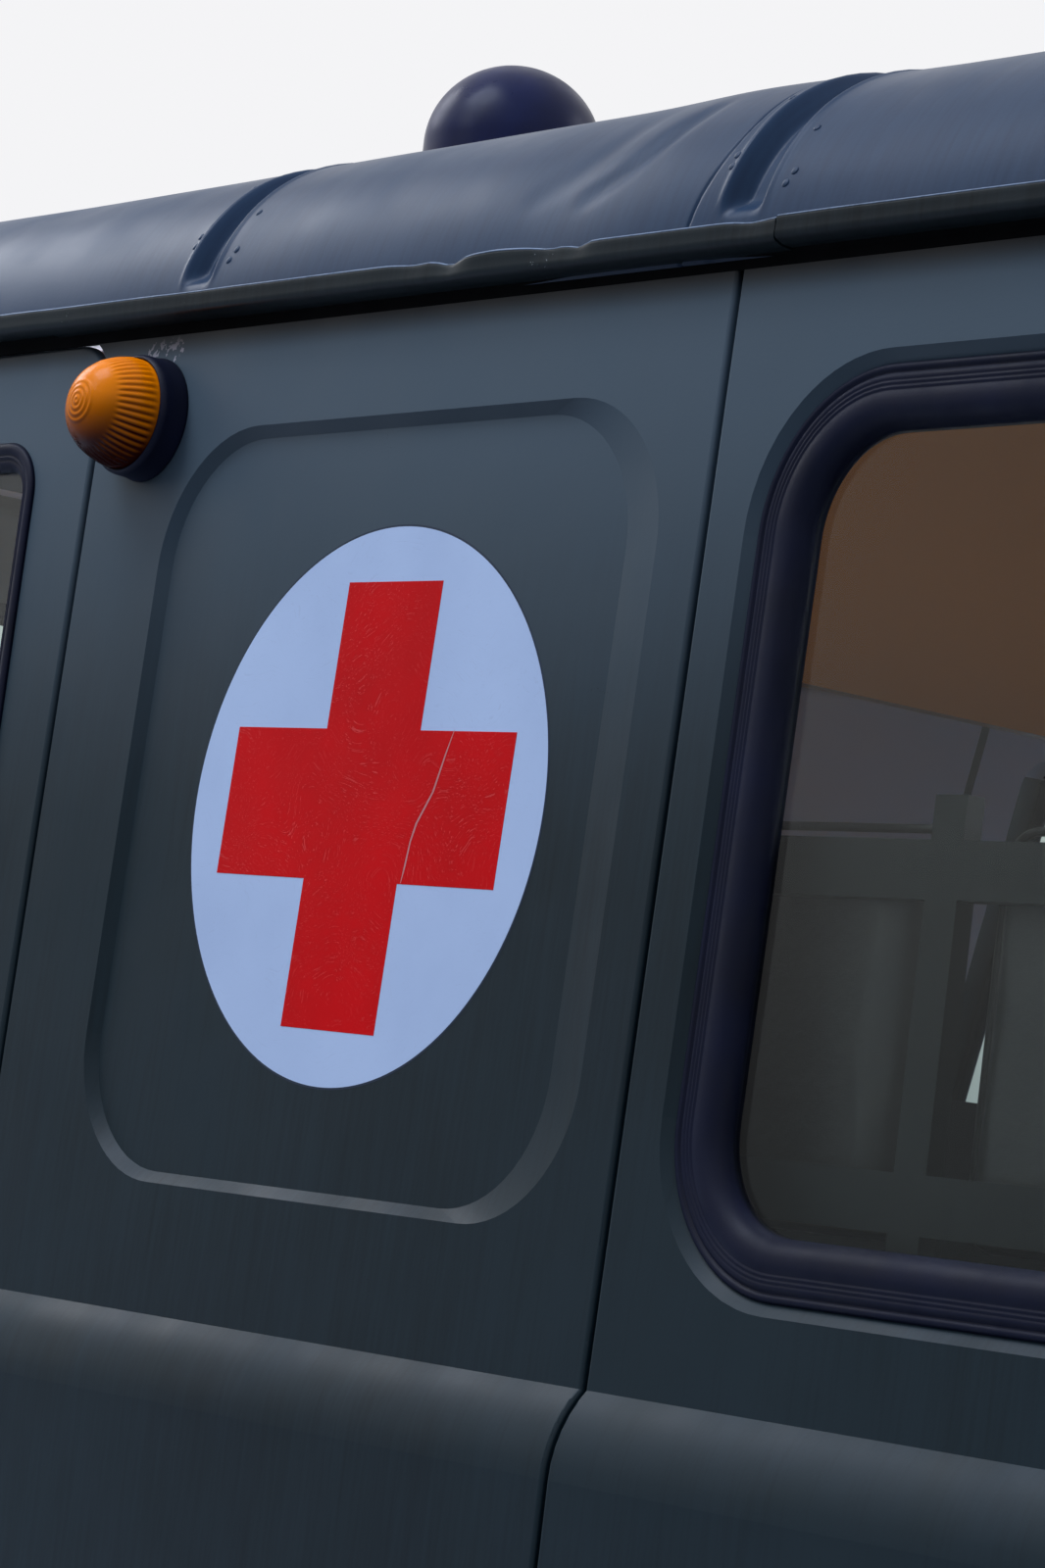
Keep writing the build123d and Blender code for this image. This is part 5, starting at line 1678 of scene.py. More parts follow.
@dataclass
class WindowRubber(Maker):
    """Moulded rubber strips that hold the panes: fine ribs on their face, a lip on the glass."""

    side_size: Triple = (658.0, 592.0, 95.0)
    side_y: Pair = (319.0, 1119.0)
    side_z: float = 1471.0
    side_sunk: float = 9.0
    screen_size: Triple = (610.0, 520.0, 70.0)
    rear_size: Triple = (440.0, 470.0, 60.0)
    door_size: Triple = (440.0, 480.0, 70.0)
    cab_corners: tuple[Pair, ...] = ((-1655, 1200), (-930, 1200), (-942, 1780), (-1512, 1780), (-1655, 1250))

    def wide(self, width: float) -> Profile:
        """Section of the strip round a screen.

        Args:
            width: Its width on the glass.

        Returns:
            The section, from its outer edge inwards.
        """
        ribs = [
            (-(7.0 + 3.4 * k + step), 6.6 - drop)
            for k in range(4)
            for step, drop in ((0.3, 0.0), (1.2, 1.3), (2.1, 1.3), (3.0, 0.0))
        ]
        inner = [(-(width - 15), 6.9), (-(width - 11), 6.6), (-(width - 7), 4.6), (-(width - 3), 0.2)]
        face = [(0.6, -3), (0.7, 2.2), (-0.6, 4.8), (-3.4, 6.8), (-6.2, 6.6)] + ribs + inner
        return (face + [(-width, -5.5), (-width, -17), (-1, -21), (0.4, -12)])[::-1]

    def broad(self) -> Profile:
        """Section of the strip round a side window: it fills the sunk floor and reaches over the pane."""
        ribs = [
            (9.0 - 3.4 * k - step, 6.6 - drop)
            for k in range(3)
            for step, drop in ((0.4, 0.0), (1.3, 0.6), (2.1, 0.6), (3.0, 0.0))
        ]
        bead = [(19.4, 0.4), (19.8, 2.8), (18.6, 4.8), (16.4, 5.6), (14.6, 4.8), (13.8, 3.4), (12.8, 3.6), (11.4, 5.6)]
        lip = [(-6, 7.0), (-11, 6.6), (-15.5, 5.0), (-19.5, 1.6), (-22.5, -3), (-24, -8.4)]
        return (bead + ribs + lip + [(-24, -17), (-1, -21), (0.4, -12), (0.4, -1), (18.8, -1)])[::-1]

    def narrow(self) -> Profile:
        """Section of the thin strip in a door's window, over the edge of its pane."""
        return [
            (3.6, 0.1), (-0.2, 0.1), (-0.4, -8.8), (-20, -8.8), (-21, -7.4), (-19.4, -3.6), (-16, -0.6), (-13, 1.2),
            (-12, 0.4), (-11, 0.4), (-10, 2.4), (-9, 2.6), (-8, 1.6), (-7, 1.6), (-6, 3.2), (-2, 4.0), (1.6, 3.4),
        ][::-1]

    def strip(self, corners: Profile, radius: float, profile: Profile, frame: Matrix) -> Mesh:
        """Make one closed strip round an opening on a wall.

        Args:
            corners: Corners of the opening.
            radius: Radius of each corner.
            profile: Section of the strip.
            frame: Where the opening is.

        Returns:
            The strip.
        """
        path = level_path(rounded(corners, radius, 0.0, 18))
        mesh = self.sweeper.sweep("strip", path, profile, True, self.finishes.rubber)
        mesh.transform(frame)
        return mesh

    def build(self) -> None:
        """Make the strips of the fixed windows with their panes, and the strips of the doors."""
        shape, fixed, panes = self.shape, [], []
        side = (*self.side_size, self.broad(), 20.0)
        screen = (*self.screen_size, self.wide(28), 27.0)
        places = [(shape.side(y, self.side_z, -self.side_sunk, hand), side) for hand in (1, -1) for y in self.side_y]
        places += [(shape.screen(x, 1520), screen) for x in (338, -338)]
        for frame, (width, height, radius, profile, inset) in places:
            corners = oblong(width, height)
            fixed.append(self.strip(corners, radius, profile, frame))
            panes.append(slab("pane", rounded(corners, radius, inset), -14.0, -9.0, frame))
        for name, meshes, finish, slot, node in (
            ("window_rubbers", fixed, self.finishes.rubber, "seal_rubber", "window_seals"),
            ("window_panes", panes, self.finishes.glass, "clear_glass", "fixed_glass"),
        ):
            add_piece(name, merged(name, meshes), finish, slot, "body", node)
        cab = [(y, z - self.side_z) for y, z in self.cab_corners]
        mirrored = [(-y, z) for y, z in cab][::-1]
        rear, door = oblong(*self.rear_size[:2]), oblong(*self.door_size[:2])
        for body, corners, radius, frame in (
            ("door_front_left", cab, 45, shape.side(0, self.side_z)),
            ("door_front_right", mirrored, 45, shape.side(0, self.side_z, 0, -1)),
            ("door_side", door, self.door_size[2], shape.side(-400, self.side_z, 0, -1)),
            ("door_rear_left", rear, self.rear_size[2], shape.tail(300, 1500)),
            ("door_rear_right", rear, self.rear_size[2], shape.tail(-300, 1500)),
        ):
            mesh = self.strip(corners, radius, self.narrow(), frame)
            add_piece(f"{body}_rubber", mesh, self.finishes.rubber, "seal_rubber", body)


@dataclass
class DoorFurniture(Maker):
    """Lever handles on their round plates, one on each door but the right rear one."""

    plate_r: float = 30.0
    lever: float = 118.0
    half_wide: float = 963.0
    height: float = 985.0
    tail_y: float = 2125.0

    def handle(self, hand: int) -> Mesh:
        """Make one handle.

        Args:
            hand: 1 if its lever runs along local x, -1 if against it.

        Returns:
            The handle, with local z outwards.
        """
        r = self.plate_r
        section = [(0, -1), (r, -1), (r, 2), (r - 2, 4), (20, 5), (17, 9), (16, 22), (13, 26), (0, 27)]
        plate = turned_piece("plate", section, 48, Matrix())
        path = level_path([(-4, 21), (34, 21), (70, 25), (self.lever - 14, 30), (self.lever, 34)])
        bar = self.sweeper.sweep("lever", path, oval(7, 11, 20), False, self.finishes.steel)
        stand = Matrix(((hand, 0, 0, 0), (0, 0, 1, 0), (0, 1, 0, 0), (0, 0, 0, 1)))
        bar.transform(stand)
        whole = merged("handle", [outwards(bar), plate])
        whole.shade_smooth()
        return whole

    def build(self) -> None:
        """Set the handles on their doors."""
        wide, high = self.half_wide, self.height
        left, right = ((0, 0, 1), (1, 0, 0), (0, 1, 0)), ((0, 0, -1), (-1, 0, 0), (0, 1, 0))
        tail = ((-1, 0, 0), (0, 0, 1), (0, 1, 0))
        for body, axes, spot, hand in (
            ("door_front_left", left, (wide, -915, high), -1),
            ("door_front_right", right, (-wide, -915, high), 1),
            ("door_side", right, (-wide, -150, high), 1),
            ("door_rear_left", tail, (46, self.tail_y, high), -1),
        ):
            frame = Matrix(axes).to_4x4()
            frame.translation = Vector(spot) * MM
            mesh = placed(self.handle(hand), frame)
            add_piece(f"{body}_handle", mesh, self.finishes.handle, "chassis_black", body)


@dataclass
class Wipers(Maker):
    """Two wipers at rest on the screens: spindle, pressed arm and rubber blade."""

    half_gap: float = 338.0
    foot_z: float = 1222.0

    def build(self) -> None:
        """Make both wipers."""
        arms, blades = [], []
        sweep, finishes = self.sweeper.sweep, self.finishes
        boss_form = [(0, -6), (13, -6), (13, 4), (11, 12), (6, 16), (0, 17)]
        arm_path = level_path([(0, 0), (40, 60), (96, 128), (150, 180)])
        blade_path = level_path([(-10, 168), (150, 180), (310, 168)])
        lip_form = [(2.6, 9), (-2.6, 9), (-1, 6.5), (-0.6, -7.8), (0.6, -7.8), (1, 6.5)]
        for x in (self.half_gap, -self.half_gap):
            frame = self.shape.screen(x, self.foot_z)
            boss = turned_piece("boss", boss_form, 32, frame)
            arm = sweep("arm", arm_path, [(5, 12), (5, 17), (-5, 17), (-5, 12)], False, finishes.chassis)
            spine = sweep("spine", blade_path, [(4, 9), (4, 14), (-4, 14), (-4, 9)], False, finishes.plastic)
            lip = sweep("lip", blade_path, lip_form, False, finishes.plastic)
            for mesh in (arm, spine, lip):
                mesh.transform(frame)
            arms += [boss, arm]
            blades += [spine, lip]
        add_piece("wiper_arms", merged("wiper_arms", arms[::-1]), finishes.chassis, "chassis_black", "body")
        add_piece("wiper_blades", merged("wiper_blades", blades), finishes.plastic, "black_plastic", "body")


@dataclass
class Headlamps(Maker):
    """Round headlamps: fluted glass over a bright bowl, held by a painted rim."""

    x: float = 600.0
    y: float = -2090.0
    z: float = 900.0
    glass_r: float = 86.0
    rim_r: float = 100.0
    bulge: float = 15.0

    def glass(self) -> Mesh:
        """The domed glass, fluted across its face."""
        profile: Profile = [(0, 2), (self.glass_r, 2), (self.glass_r, 5)]
        quarter = [pi / 2 * k / 30 for k in range(1, 31)]
        profile += [(self.glass_r * cos(turn), 5 + self.bulge * sin(turn)) for turn in quarter]
        mesh = turned_piece("headlamp_glass", profile, 160, Matrix())
        points = coordinates(mesh) / MM
        radius = np.hypot(points[:, 0], points[:, 1])
        front = (points[:, 2] > 5.5) * smooth_step((self.glass_r - 6 - radius) / 4)
        points[:, 2] += 0.9 * np.abs(np.sin(points[:, 0] * pi / 11)) * front
        return move_to(mesh, points * MM)

    def build(self) -> None:
        """Make both lamps."""
        bowl = [
            (0, -58), (24, -56), (50, -44), (70, -24), (82, 0), (86, 2), (86, -1), (76, -24), (54, -48), (26, -60),
            (0, -62),
        ]
        rim = [
            (self.glass_r + 0.5, 1), (self.rim_r, -5), (self.rim_r + 1, 2), (self.rim_r - 2, 9), (self.rim_r - 8, 13),
            (self.glass_r - 3, 12), (self.glass_r - 3.6, 9.5), (self.glass_r - 1, 6.5), (self.glass_r + 0.5, 6),
        ]
        forward = Matrix.Rotation(radians(90), 4, "X")
        frames = [Matrix.Translation(Vector((x, self.y, self.z)) * MM) @ forward for x in (self.x, -self.x)]
        ring = turned([(r * MM, h * MM) for r, h in rim], 96, True)
        for name, mesh, finish, slot in (
            ("headlamp_glass", self.glass(), self.finishes.clear_lens, "lamp_glass"),
            ("headlamp_bowl", turned_piece("bowl", bowl, 64, Matrix()), self.finishes.bright, "bare_steel"),
            ("headlamp_rim", mesh_of("rim", *ring), self.finishes.army, "body_paint"),
        ):
            whole = merged(name, [placed(mesh, frame) for frame in frames])
            whole.shade_smooth()
            add_piece(name, whole, finish, slot, "body", "headlamps")


@dataclass
class RoadWheels(Maker):
    """Tyres with cross-country lugs, ribbed walls, and the nuts of their wheels."""

    tyre_r: float = 390.0
    rim_r: float = 190.0
    track_half: float = 721.0
    axles: Pair = (-1200.0, 1100.0)
    lugs: int = 34
    shoulder_lug: tuple[float, ...] = (50.0, 34.0, 66.0, 0.16, 374.0)
    middle_lug: tuple[float, ...] = (38.0, 26.0, 18.0, -0.42, 375.4)
    nuts: int = 6
    nut_circle: float = 82.0
    nut_out: float = 34.0

    def carcass(self) -> Mesh:
        """The tyre without its lugs, turned about local z, which is the axle."""
        low = self.rim_r
        half = [
            (low + 0.2, 76), (low + 6, 80), (low + 18, 83), (low + 22, 88), (222, 94), (226, 96), (228, 98),
            (246, 103), (262, 106), (266, 107.3), (270, 107.3), (274, 106.3), (292, 107.2), (296, 107.4),
            (300, 106.6), (326, 103), (346, 98), (352, 97.5), (362, 94), (371, 88), (374.5, 78), (376, 40),
        ]
        profile = [(r * MM, -x * MM) for r, x in half] + [(0.3762, 0.0)] + [(r * MM, x * MM) for r, x in half[::-1]]
        return mesh_of("carcass", *turned(profile, 144, True))

    def lug(self, length: float, width: float) -> Mesh:
        """Make one rubber lug with drawn-in sides.

        Args:
            length: Its length, along local x, which is the axle.
            width: Its width.

        Returns:
            The lug; local z is radial.
        """
        form = bmesh.new()
        rings = []
        for height, grow in ((-6, 3.5), (12, 0.6), (13.6, -0.8)):
            outline = oblong(length + 2 * grow, width + 2 * grow)
            rings.append([form.verts.new((x * MM, y * MM, height * MM)) for x, y in outline])
        form.faces.new(rings[0][::-1])
        form.faces.new(rings[-1])
        for low, high in zip(rings, rings[1:]):
            for k in range(4):
                form.faces.new((low[k], low[(k + 1) % 4], high[(k + 1) % 4], high[k]))
        mesh = bpy.data.meshes.new("lug")
        form.to_mesh(mesh)
        form.free()
        return mesh

    def lug_row(self, length: float, width: float, x: float, skew: float, low: float) -> Mesh:
        """Set one kind of lug round the tyre, on both sides of its middle.

        Args:
            length: Length of a lug.
            width: Its width.
            x: Distance of the row from the tyre's middle.
            skew: Turn of a lug, in radians.
            low: Radius on which it stands.

        Returns:
            All lugs of this kind, flat-shaded.
        """
        frames = []
        lift = Matrix(((0, 0, 1, 0), (0, 1, 0, 0), (1, 0, 0, 0), (0, 0, 0, 1)))
        for k in range(self.lugs):
            for side in (1, -1):
                a = 2 * pi * (k + (0.5 if side < 0 else 0.0)) / self.lugs
                spot = Matrix.Translation((low * MM, 0, side * x * MM))
                frames.append(Matrix.Rotation(a, 4, "Z") @ spot @ lift @ Matrix.Rotation(side * skew, 4, "Z"))
        row = outwards(self.repeater.repeat("lugs", self.lug(length, width), frames, self.finishes.tyre))
        row.shade_flat()
        return row

    def tyre(self) -> Mesh:
        """The whole tyre, every face in the one finish."""
        tyre = merged("tyre", [self.lug_row(*self.shoulder_lug), self.lug_row(*self.middle_lug), self.carcass()])
        tyre.materials.clear()
        tyre.materials.append(self.finishes.tyre)
        tyre.polygons.foreach_set("material_index", [0] * len(tyre.polygons))
        return self.trim(tyre)

    def nut_ring(self) -> Mesh:
        """The nuts of one wheel."""
        form = [(0, -2), (11.5, -2), (11.5, 7), (10, 9), (6.5, 9.4), (6, 12), (0, 12.4)]
        nut = turned_piece("nut", form, 6, Matrix())
        seats = [
            Matrix.Translation(Vector((x, y, self.nut_out)) * MM)
            for x, y in oval(self.nut_circle, self.nut_circle, self.nuts)
        ]
        nuts = self.repeater.repeat("nuts", nut, seats, self.finishes.wheel)
        nuts.shade_flat()
        return nuts

    def build(self) -> None:
        """Make the four tyres and the nuts of the four wheels."""
        tyre, nuts = self.tyre(), self.nut_ring()
        for end, y in zip(("front", "rear"), self.axles):
            for hand, side in (("left", 1), ("right", -1)):
                corner = f"{end}_{hand}"
                axle = Matrix(((0, 0, side, 0), (0, 1, 0, 0), (-side, 0, 0, 0), (0, 0, 0, 1)))
                frame = Matrix.Translation((side * self.track_half * MM, y * MM, self.tyre_r * MM)) @ axle
                for name, mesh, finish, slot, nodes in (
                    ("tyre_lugged", tyre, self.finishes.tyre, "tyre_rubber", [f"tyre_{corner}"]),
                    ("wheel_nuts", nuts, self.finishes.wheel, "rim_paint", []),
                ):
                    add_piece(f"{name}_{corner}", placed(mesh, frame), finish, slot, f"wheel_{corner}", *nodes)

    def trim(self, tyre: Mesh) -> Mesh:
        """Bring lug corners back onto the tyre's own round.

        Args:
            tyre: The tyre; it is changed in place.

        Returns:
            The same mesh.
        """
        points = coordinates(tyre) / MM
        radius = np.hypot(points[:, 0], points[:, 1])
        crown = self.tyre_r - 0.4 - np.maximum(0, np.abs(points[:, 2]) - 50) ** 2 * 0.0075
        scale = np.where(radius > crown, crown / np.maximum(radius, 1), 1.0)
        points[:, :2] *= scale[:, None]
        return move_to(tyre, points * MM)


@dataclass(frozen=True)
class Pad:
    """One upholstered block: its corners in millimetres and the way its sewn channels run."""

    name: str
    low: Triple
    high: Triple
    face: int
    across: int
    channels: int

    def mirrored(self) -> "Pad":
        """The same pad on the other side of the vehicle."""
        low, high = (-self.high[0], *self.low[1:]), (-self.low[0], *self.high[1:])
        return Pad(self.name.replace("left", "right"), low, high, self.face, self.across, self.channels)

    @property
    def outward(self) -> float:
        """1 if its used face looks along its axis, -1 if against it."""
        return 1.0 if self.face == 2 else -1.0


@dataclass
class Upholstery(Maker):
    """Seats, bench pads and the stretcher's mattress: foam under stitched cloth, swollen by pressure."""

    voxel_mm: float = 15.0
    pressure: float = 4.0
    cap_mm: float = 13.0
    start_in_mm: float = 9.0
    channel_mm: float = 9.0
    channel_deep_mm: float = 5.5
    welt_mm: float = 3.2
    frames: int = 20
    fill: float = 0.75

    def pads(self) -> list[Pad]:
        """All pads by their places in the frame."""
        seat = Pad("seat_left", (365, -1440, 900), (835, -890, 1000), 2, 0, 4)
        back = Pad("seat_back_left", (370, -972, 1006), (830, -882, 1500), 1, 0, 4)
        made = [seat, back, seat.mirrored(), back.mirrored()]
        for number, y in enumerate((-300, 580, 1460), 1):
            made.append(Pad(f"bench_seat_{number}", (470, y - 428, 1052), (858, y + 428, 1130), 2, 1, 3))
            made.append(Pad(f"bench_back_{number}", (816, y - 428, 1200), (862, y + 428, 1490), 0, 1, 3))
        made.append(Pad("stretcher_mattress", (-838, 50, 948), (-382, 1860, 1010), 2, 1, 2))
        return made

    def block(self, pads: list[Pad]) -> Object:
        """Make all pads as drawn-in blocks with bevelled edges.

        Args:
            pads: The pads.

        Returns:
            One object with all blocks.
        """
        form = bmesh.new()
        for pad in pads:
            low, high = Vector(pad.low), Vector(pad.high)
            inset = min(self.start_in_mm, min(high - low) * 0.2)
            size = high - low - Vector((inset, inset, inset)) * 2
            made = bmesh.ops.create_cube(form, size=1.0)["verts"]
            bmesh.ops.scale(form, vec=size * MM, verts=made)
            bmesh.ops.translate(form, vec=(low + high) / 2 * MM, verts=made)
            edges = list({edge for vert in made for edge in vert.link_edges})
            bmesh.ops.bevel(form, geom=edges, offset=min(size) * 0.32 * MM, segments=3, profile=0.5, affect="EDGES")
        mesh = bpy.data.meshes.new("pad_blocks")
        form.to_mesh(mesh)
        form.free()
        return shown("pad_blocks", mesh)

    def swollen(self, pads: list[Pad]) -> Mesh:
        """Swell the blocks with cloth under pressure and keep how far each point moves in bounds.

        Args:
            pads: The pads.
        """
        block = self.block(pads)
        remesh = block.modifiers.new("even_mesh", "REMESH")
        remesh.mode, remesh.voxel_size = "VOXEL", self.voxel_mm * MM
        mesh = evaluated(block)
        bpy.data.objects.remove(block)
        start = coordinates(mesh)
        cloth_object = shown("pad_cloth", mesh)
        cloth = cloth_object.modifiers.new("cloth", "CLOTH")
        cloth.settings.use_pressure = True
        cloth.settings.uniform_pressure_force = self.pressure
        cloth.settings.quality = 4
        cloth.settings.effector_weights.gravity = 0.0
        cloth.collision_settings.use_collision = False
        scene = bpy.context.scene
        for frame in range(1, self.frames + 1):
            scene.frame_set(frame)
        result = evaluated(cloth_object)
        bpy.data.objects.remove(cloth_object)
        scene.frame_set(1)
        moved = coordinates(result) - start
        far = np.linalg.norm(moved, axis=1)
        scale = np.where(far > self.cap_mm * MM, self.cap_mm * MM / np.maximum(far, 1e-9), 1.0)
        return move_to(result, start + moved * scale[:, None])

    def divided(self, mesh: Mesh) -> Mesh:
        """Subdivide a mesh once.

        Args:
            mesh: The mesh.

        Returns:
            The finer mesh.
        """
        source = shown("pads_divided", mesh)
        modifier = source.modifiers.new("divide", "SUBSURF")
        modifier.levels = modifier.render_levels = 1
        made = evaluated(source)
        bpy.data.objects.remove(source)
        return made

    def part_of(self, mesh: Mesh, pads: list[Pad]) -> np.ndarray:
        """Find the pad that each point belongs to.

        Args:
            mesh: One mesh with all pads.
            pads: The pads.

        Returns:
            The pad's number for each point.
        """
        points = coordinates(mesh) / MM
        gaps = []
        for pad in pads:
            over = np.maximum(np.array(pad.low) - points, points - np.array(pad.high))
            gaps.append(np.max(over, axis=1))
        return np.argmin(np.array(gaps), axis=0)

    def worked(self, pad: Pad, points: np.ndarray) -> np.ndarray:
        """Press in sewn channels and keep the points in the pad's own bounds.

        Args:
            pad: The pad.
            points: Its points, in metres.

        Returns:
            The worked points, in metres.
        """
        p, face, outward = points / MM, pad.face, pad.outward
        low, high = np.array(pad.low, dtype=float), np.array(pad.high, dtype=float)
        middle, half = (low + high) / 2, (high - low) / 2
        share = (p - middle) / half
        facing = smooth_step((share[:, face] * outward - 0.1) / 0.5)
        rim = smooth_step((1 - np.abs(share[:, pad.across])) * half[pad.across] / 30)
        for k in range(1, pad.channels + 1):
            spot = low[pad.across] + (high[pad.across] - low[pad.across]) * k / (pad.channels + 1)
            valley = bell((p[:, pad.across] - spot) / self.channel_mm)
            p[:, face] -= outward * self.channel_deep_mm * valley * facing * rim
        base = smooth_step((-share[:, face] * outward - 0.4) / 0.3)
        floor = middle[face] - outward * half[face]
        lifted = floor + outward * np.maximum((p[:, face] - floor) * outward, 0.4)
        p[:, face] = np.where(base > 0.5, lifted, p[:, face])
        top, bottom = high + 1.0, low - 1.0
        if outward > 0:
            top[face], bottom[face] = top[face] + 6.0, low[face] + 0.3
        else:
            top[face], bottom[face] = high[face] - 0.3, bottom[face] - 3.0
        return np.clip(p, bottom, top) * MM

    def welt(self, pad: Pad, finish: Material) -> Mesh:
        """Make the piping sewn round the edge of a pad's used face.

        Args:
            pad: The pad.
            finish: Its cloth.

        Returns:
            The piping.
        """
        low, high = Vector(pad.low), Vector(pad.high)
        a, b = [axis for axis in range(3) if axis != pad.face]
        size, middle = high - low, (low + high) / 2
        outline = rounded(oblong(size[a] - 14, size[b] - 14), 26)
        level = middle[pad.face] + pad.outward * (size[pad.face] / 2 - 0.17 * size[pad.face] - 4)
        section = oval(self.welt_mm, self.welt_mm, 10)
        mesh = self.sweeper.sweep("welt", level_path(outline), section, True, finish)
        points = coordinates(mesh)
        moved = np.zeros_like(points)
        for axis, source, shift in ((a, 0, middle[a]), (b, 1, middle[b]), (pad.face, 2, level)):
            moved[:, axis] = points[:, source] + shift * MM
        return outwards(move_to(mesh, moved))

    def build(self) -> None:
        """Make every pad as a piece of its own, with its piping."""
        pads = self.pads()
        mesh = self.divided(self.swollen(pads))
        owner = self.part_of(mesh, pads)
        points = coordinates(mesh)
        corners: dict[int, Faces] = {k: [] for k in range(len(pads))}
        for face in mesh.polygons:
            corners[owner[face.vertices[0]]].append(tuple(face.vertices))
        for number, pad in enumerate(pads):
            chosen = np.nonzero(owner == number)[0]
            renumber = {int(old): new for new, old in enumerate(chosen)}
            faces = [tuple(renumber[v] for v in face) for face in corners[number] if all(v in renumber for v in face)]
            body = mesh_of(pad.name, self.worked(pad, points[chosen]), faces)
            finish = self.finishes.canvas if pad.name == "stretcher_mattress" else self.finishes.vinyl
            replaced = "seat_cushions" if pad.name.startswith("seat") else "ward_cushions"
            piece = add_piece(pad.name, body, finish, "vinyl", "body", replaced)
            add_piece(f"{pad.name}_welt", self.welt(pad, finish), finish, "vinyl", "body", replaced)


@dataclass
class CabControls(Maker):
    """Pedals and two floor levers with their knobs and boots, as such cabs have them."""

    pedal_x: tuple[float, ...] = (560.0, 480.0, 385.0)
    floor_z: float = 1010.0
    rod_r: float = 6.0

    def upright(self, name: str, x: float, path: Profile, section: Profile, finish: Material) -> Mesh:
        """Sweep a bar along a path that stands in a plane across x.

        Args:
            name: Name of the mesh.
            x: Place of the plane.
            path: Points of the path as y and z, in millimetres.
            section: Section of the bar.
            finish: Its material.

        Returns:
            The bar, its faces outwards.
        """
        bar = self.sweeper.sweep(name, level_path(path), section, False, finish)
        stand = Matrix(((0, 0, 1, 0), (1, 0, 0, 0), (0, 1, 0, 0), (0, 0, 0, 1)))
        bar.transform(Matrix.Translation((x * MM, 0, 0)) @ stand)
        return outwards(bar)

    def build(self) -> None:
        """Make the small controls."""
        finishes, low = self.finishes, self.floor_z
        rod, thick_rod = oval(self.rod_r, self.rod_r, 12), oval(self.rod_r * 1.1, self.rod_r * 1.1, 12)
        flat = [(4, -26), (4, 26), (1, 28), (-4, 26), (-4, -26), (1, -28)]
        pedals = []
        for x in self.pedal_x:
            pedals.append(self.upright("arm", x, [(-1880, 1050), (-1830, 960), (-1800, 850)], rod, finishes.chassis))
            pedals.append(self.upright("pad", x, [(-1812, 872), (-1778, 806)], flat, finishes.chassis))
        knob = [(0, -6), (13, -4), (20, 8), (23, 22), (20, 36), (11, 44), (0, 46)]
        boot = [
            (0, -2), (52, -2), (50, 5), (40, 9), (43, 15), (33, 20), (35, 26), (24, 32), (24, 38), (9, 44), (0, 44),
        ]
        levers, knobs = [], []
        for x, y, height, lean in ((130, -1500, 330, 60), (-60, -1420, 250, 40)):
            path = [(y, 996), (y, 1040), (y + lean * 0.4, low + height * 0.6), (y + lean, low + height)]
            levers.append(self.upright("lever", x, path, thick_rod, finishes.steel))
            for name, form, steps, spot in (
                ("knob", knob, 32, (x, y + lean, low + height - 4)), ("boot", boot, 40, (x, y, low)),
            ):
                knobs.append(turned_piece(name, form, steps, Matrix.Translation(Vector(spot) * MM)))
        rubber = merged("lever_knobs", knobs)
        rubber.shade_smooth()
        for name, mesh, finish, slot in (
            ("pedals", merged("pedals", pedals), finishes.chassis, "chassis_black"),
            ("floor_levers", merged("floor_levers", levers), finishes.steel, "bare_steel"),
            ("lever_knobs", rubber, finishes.plastic, "black_plastic"),
        ):
            add_piece(name, mesh, finish, slot, "body")


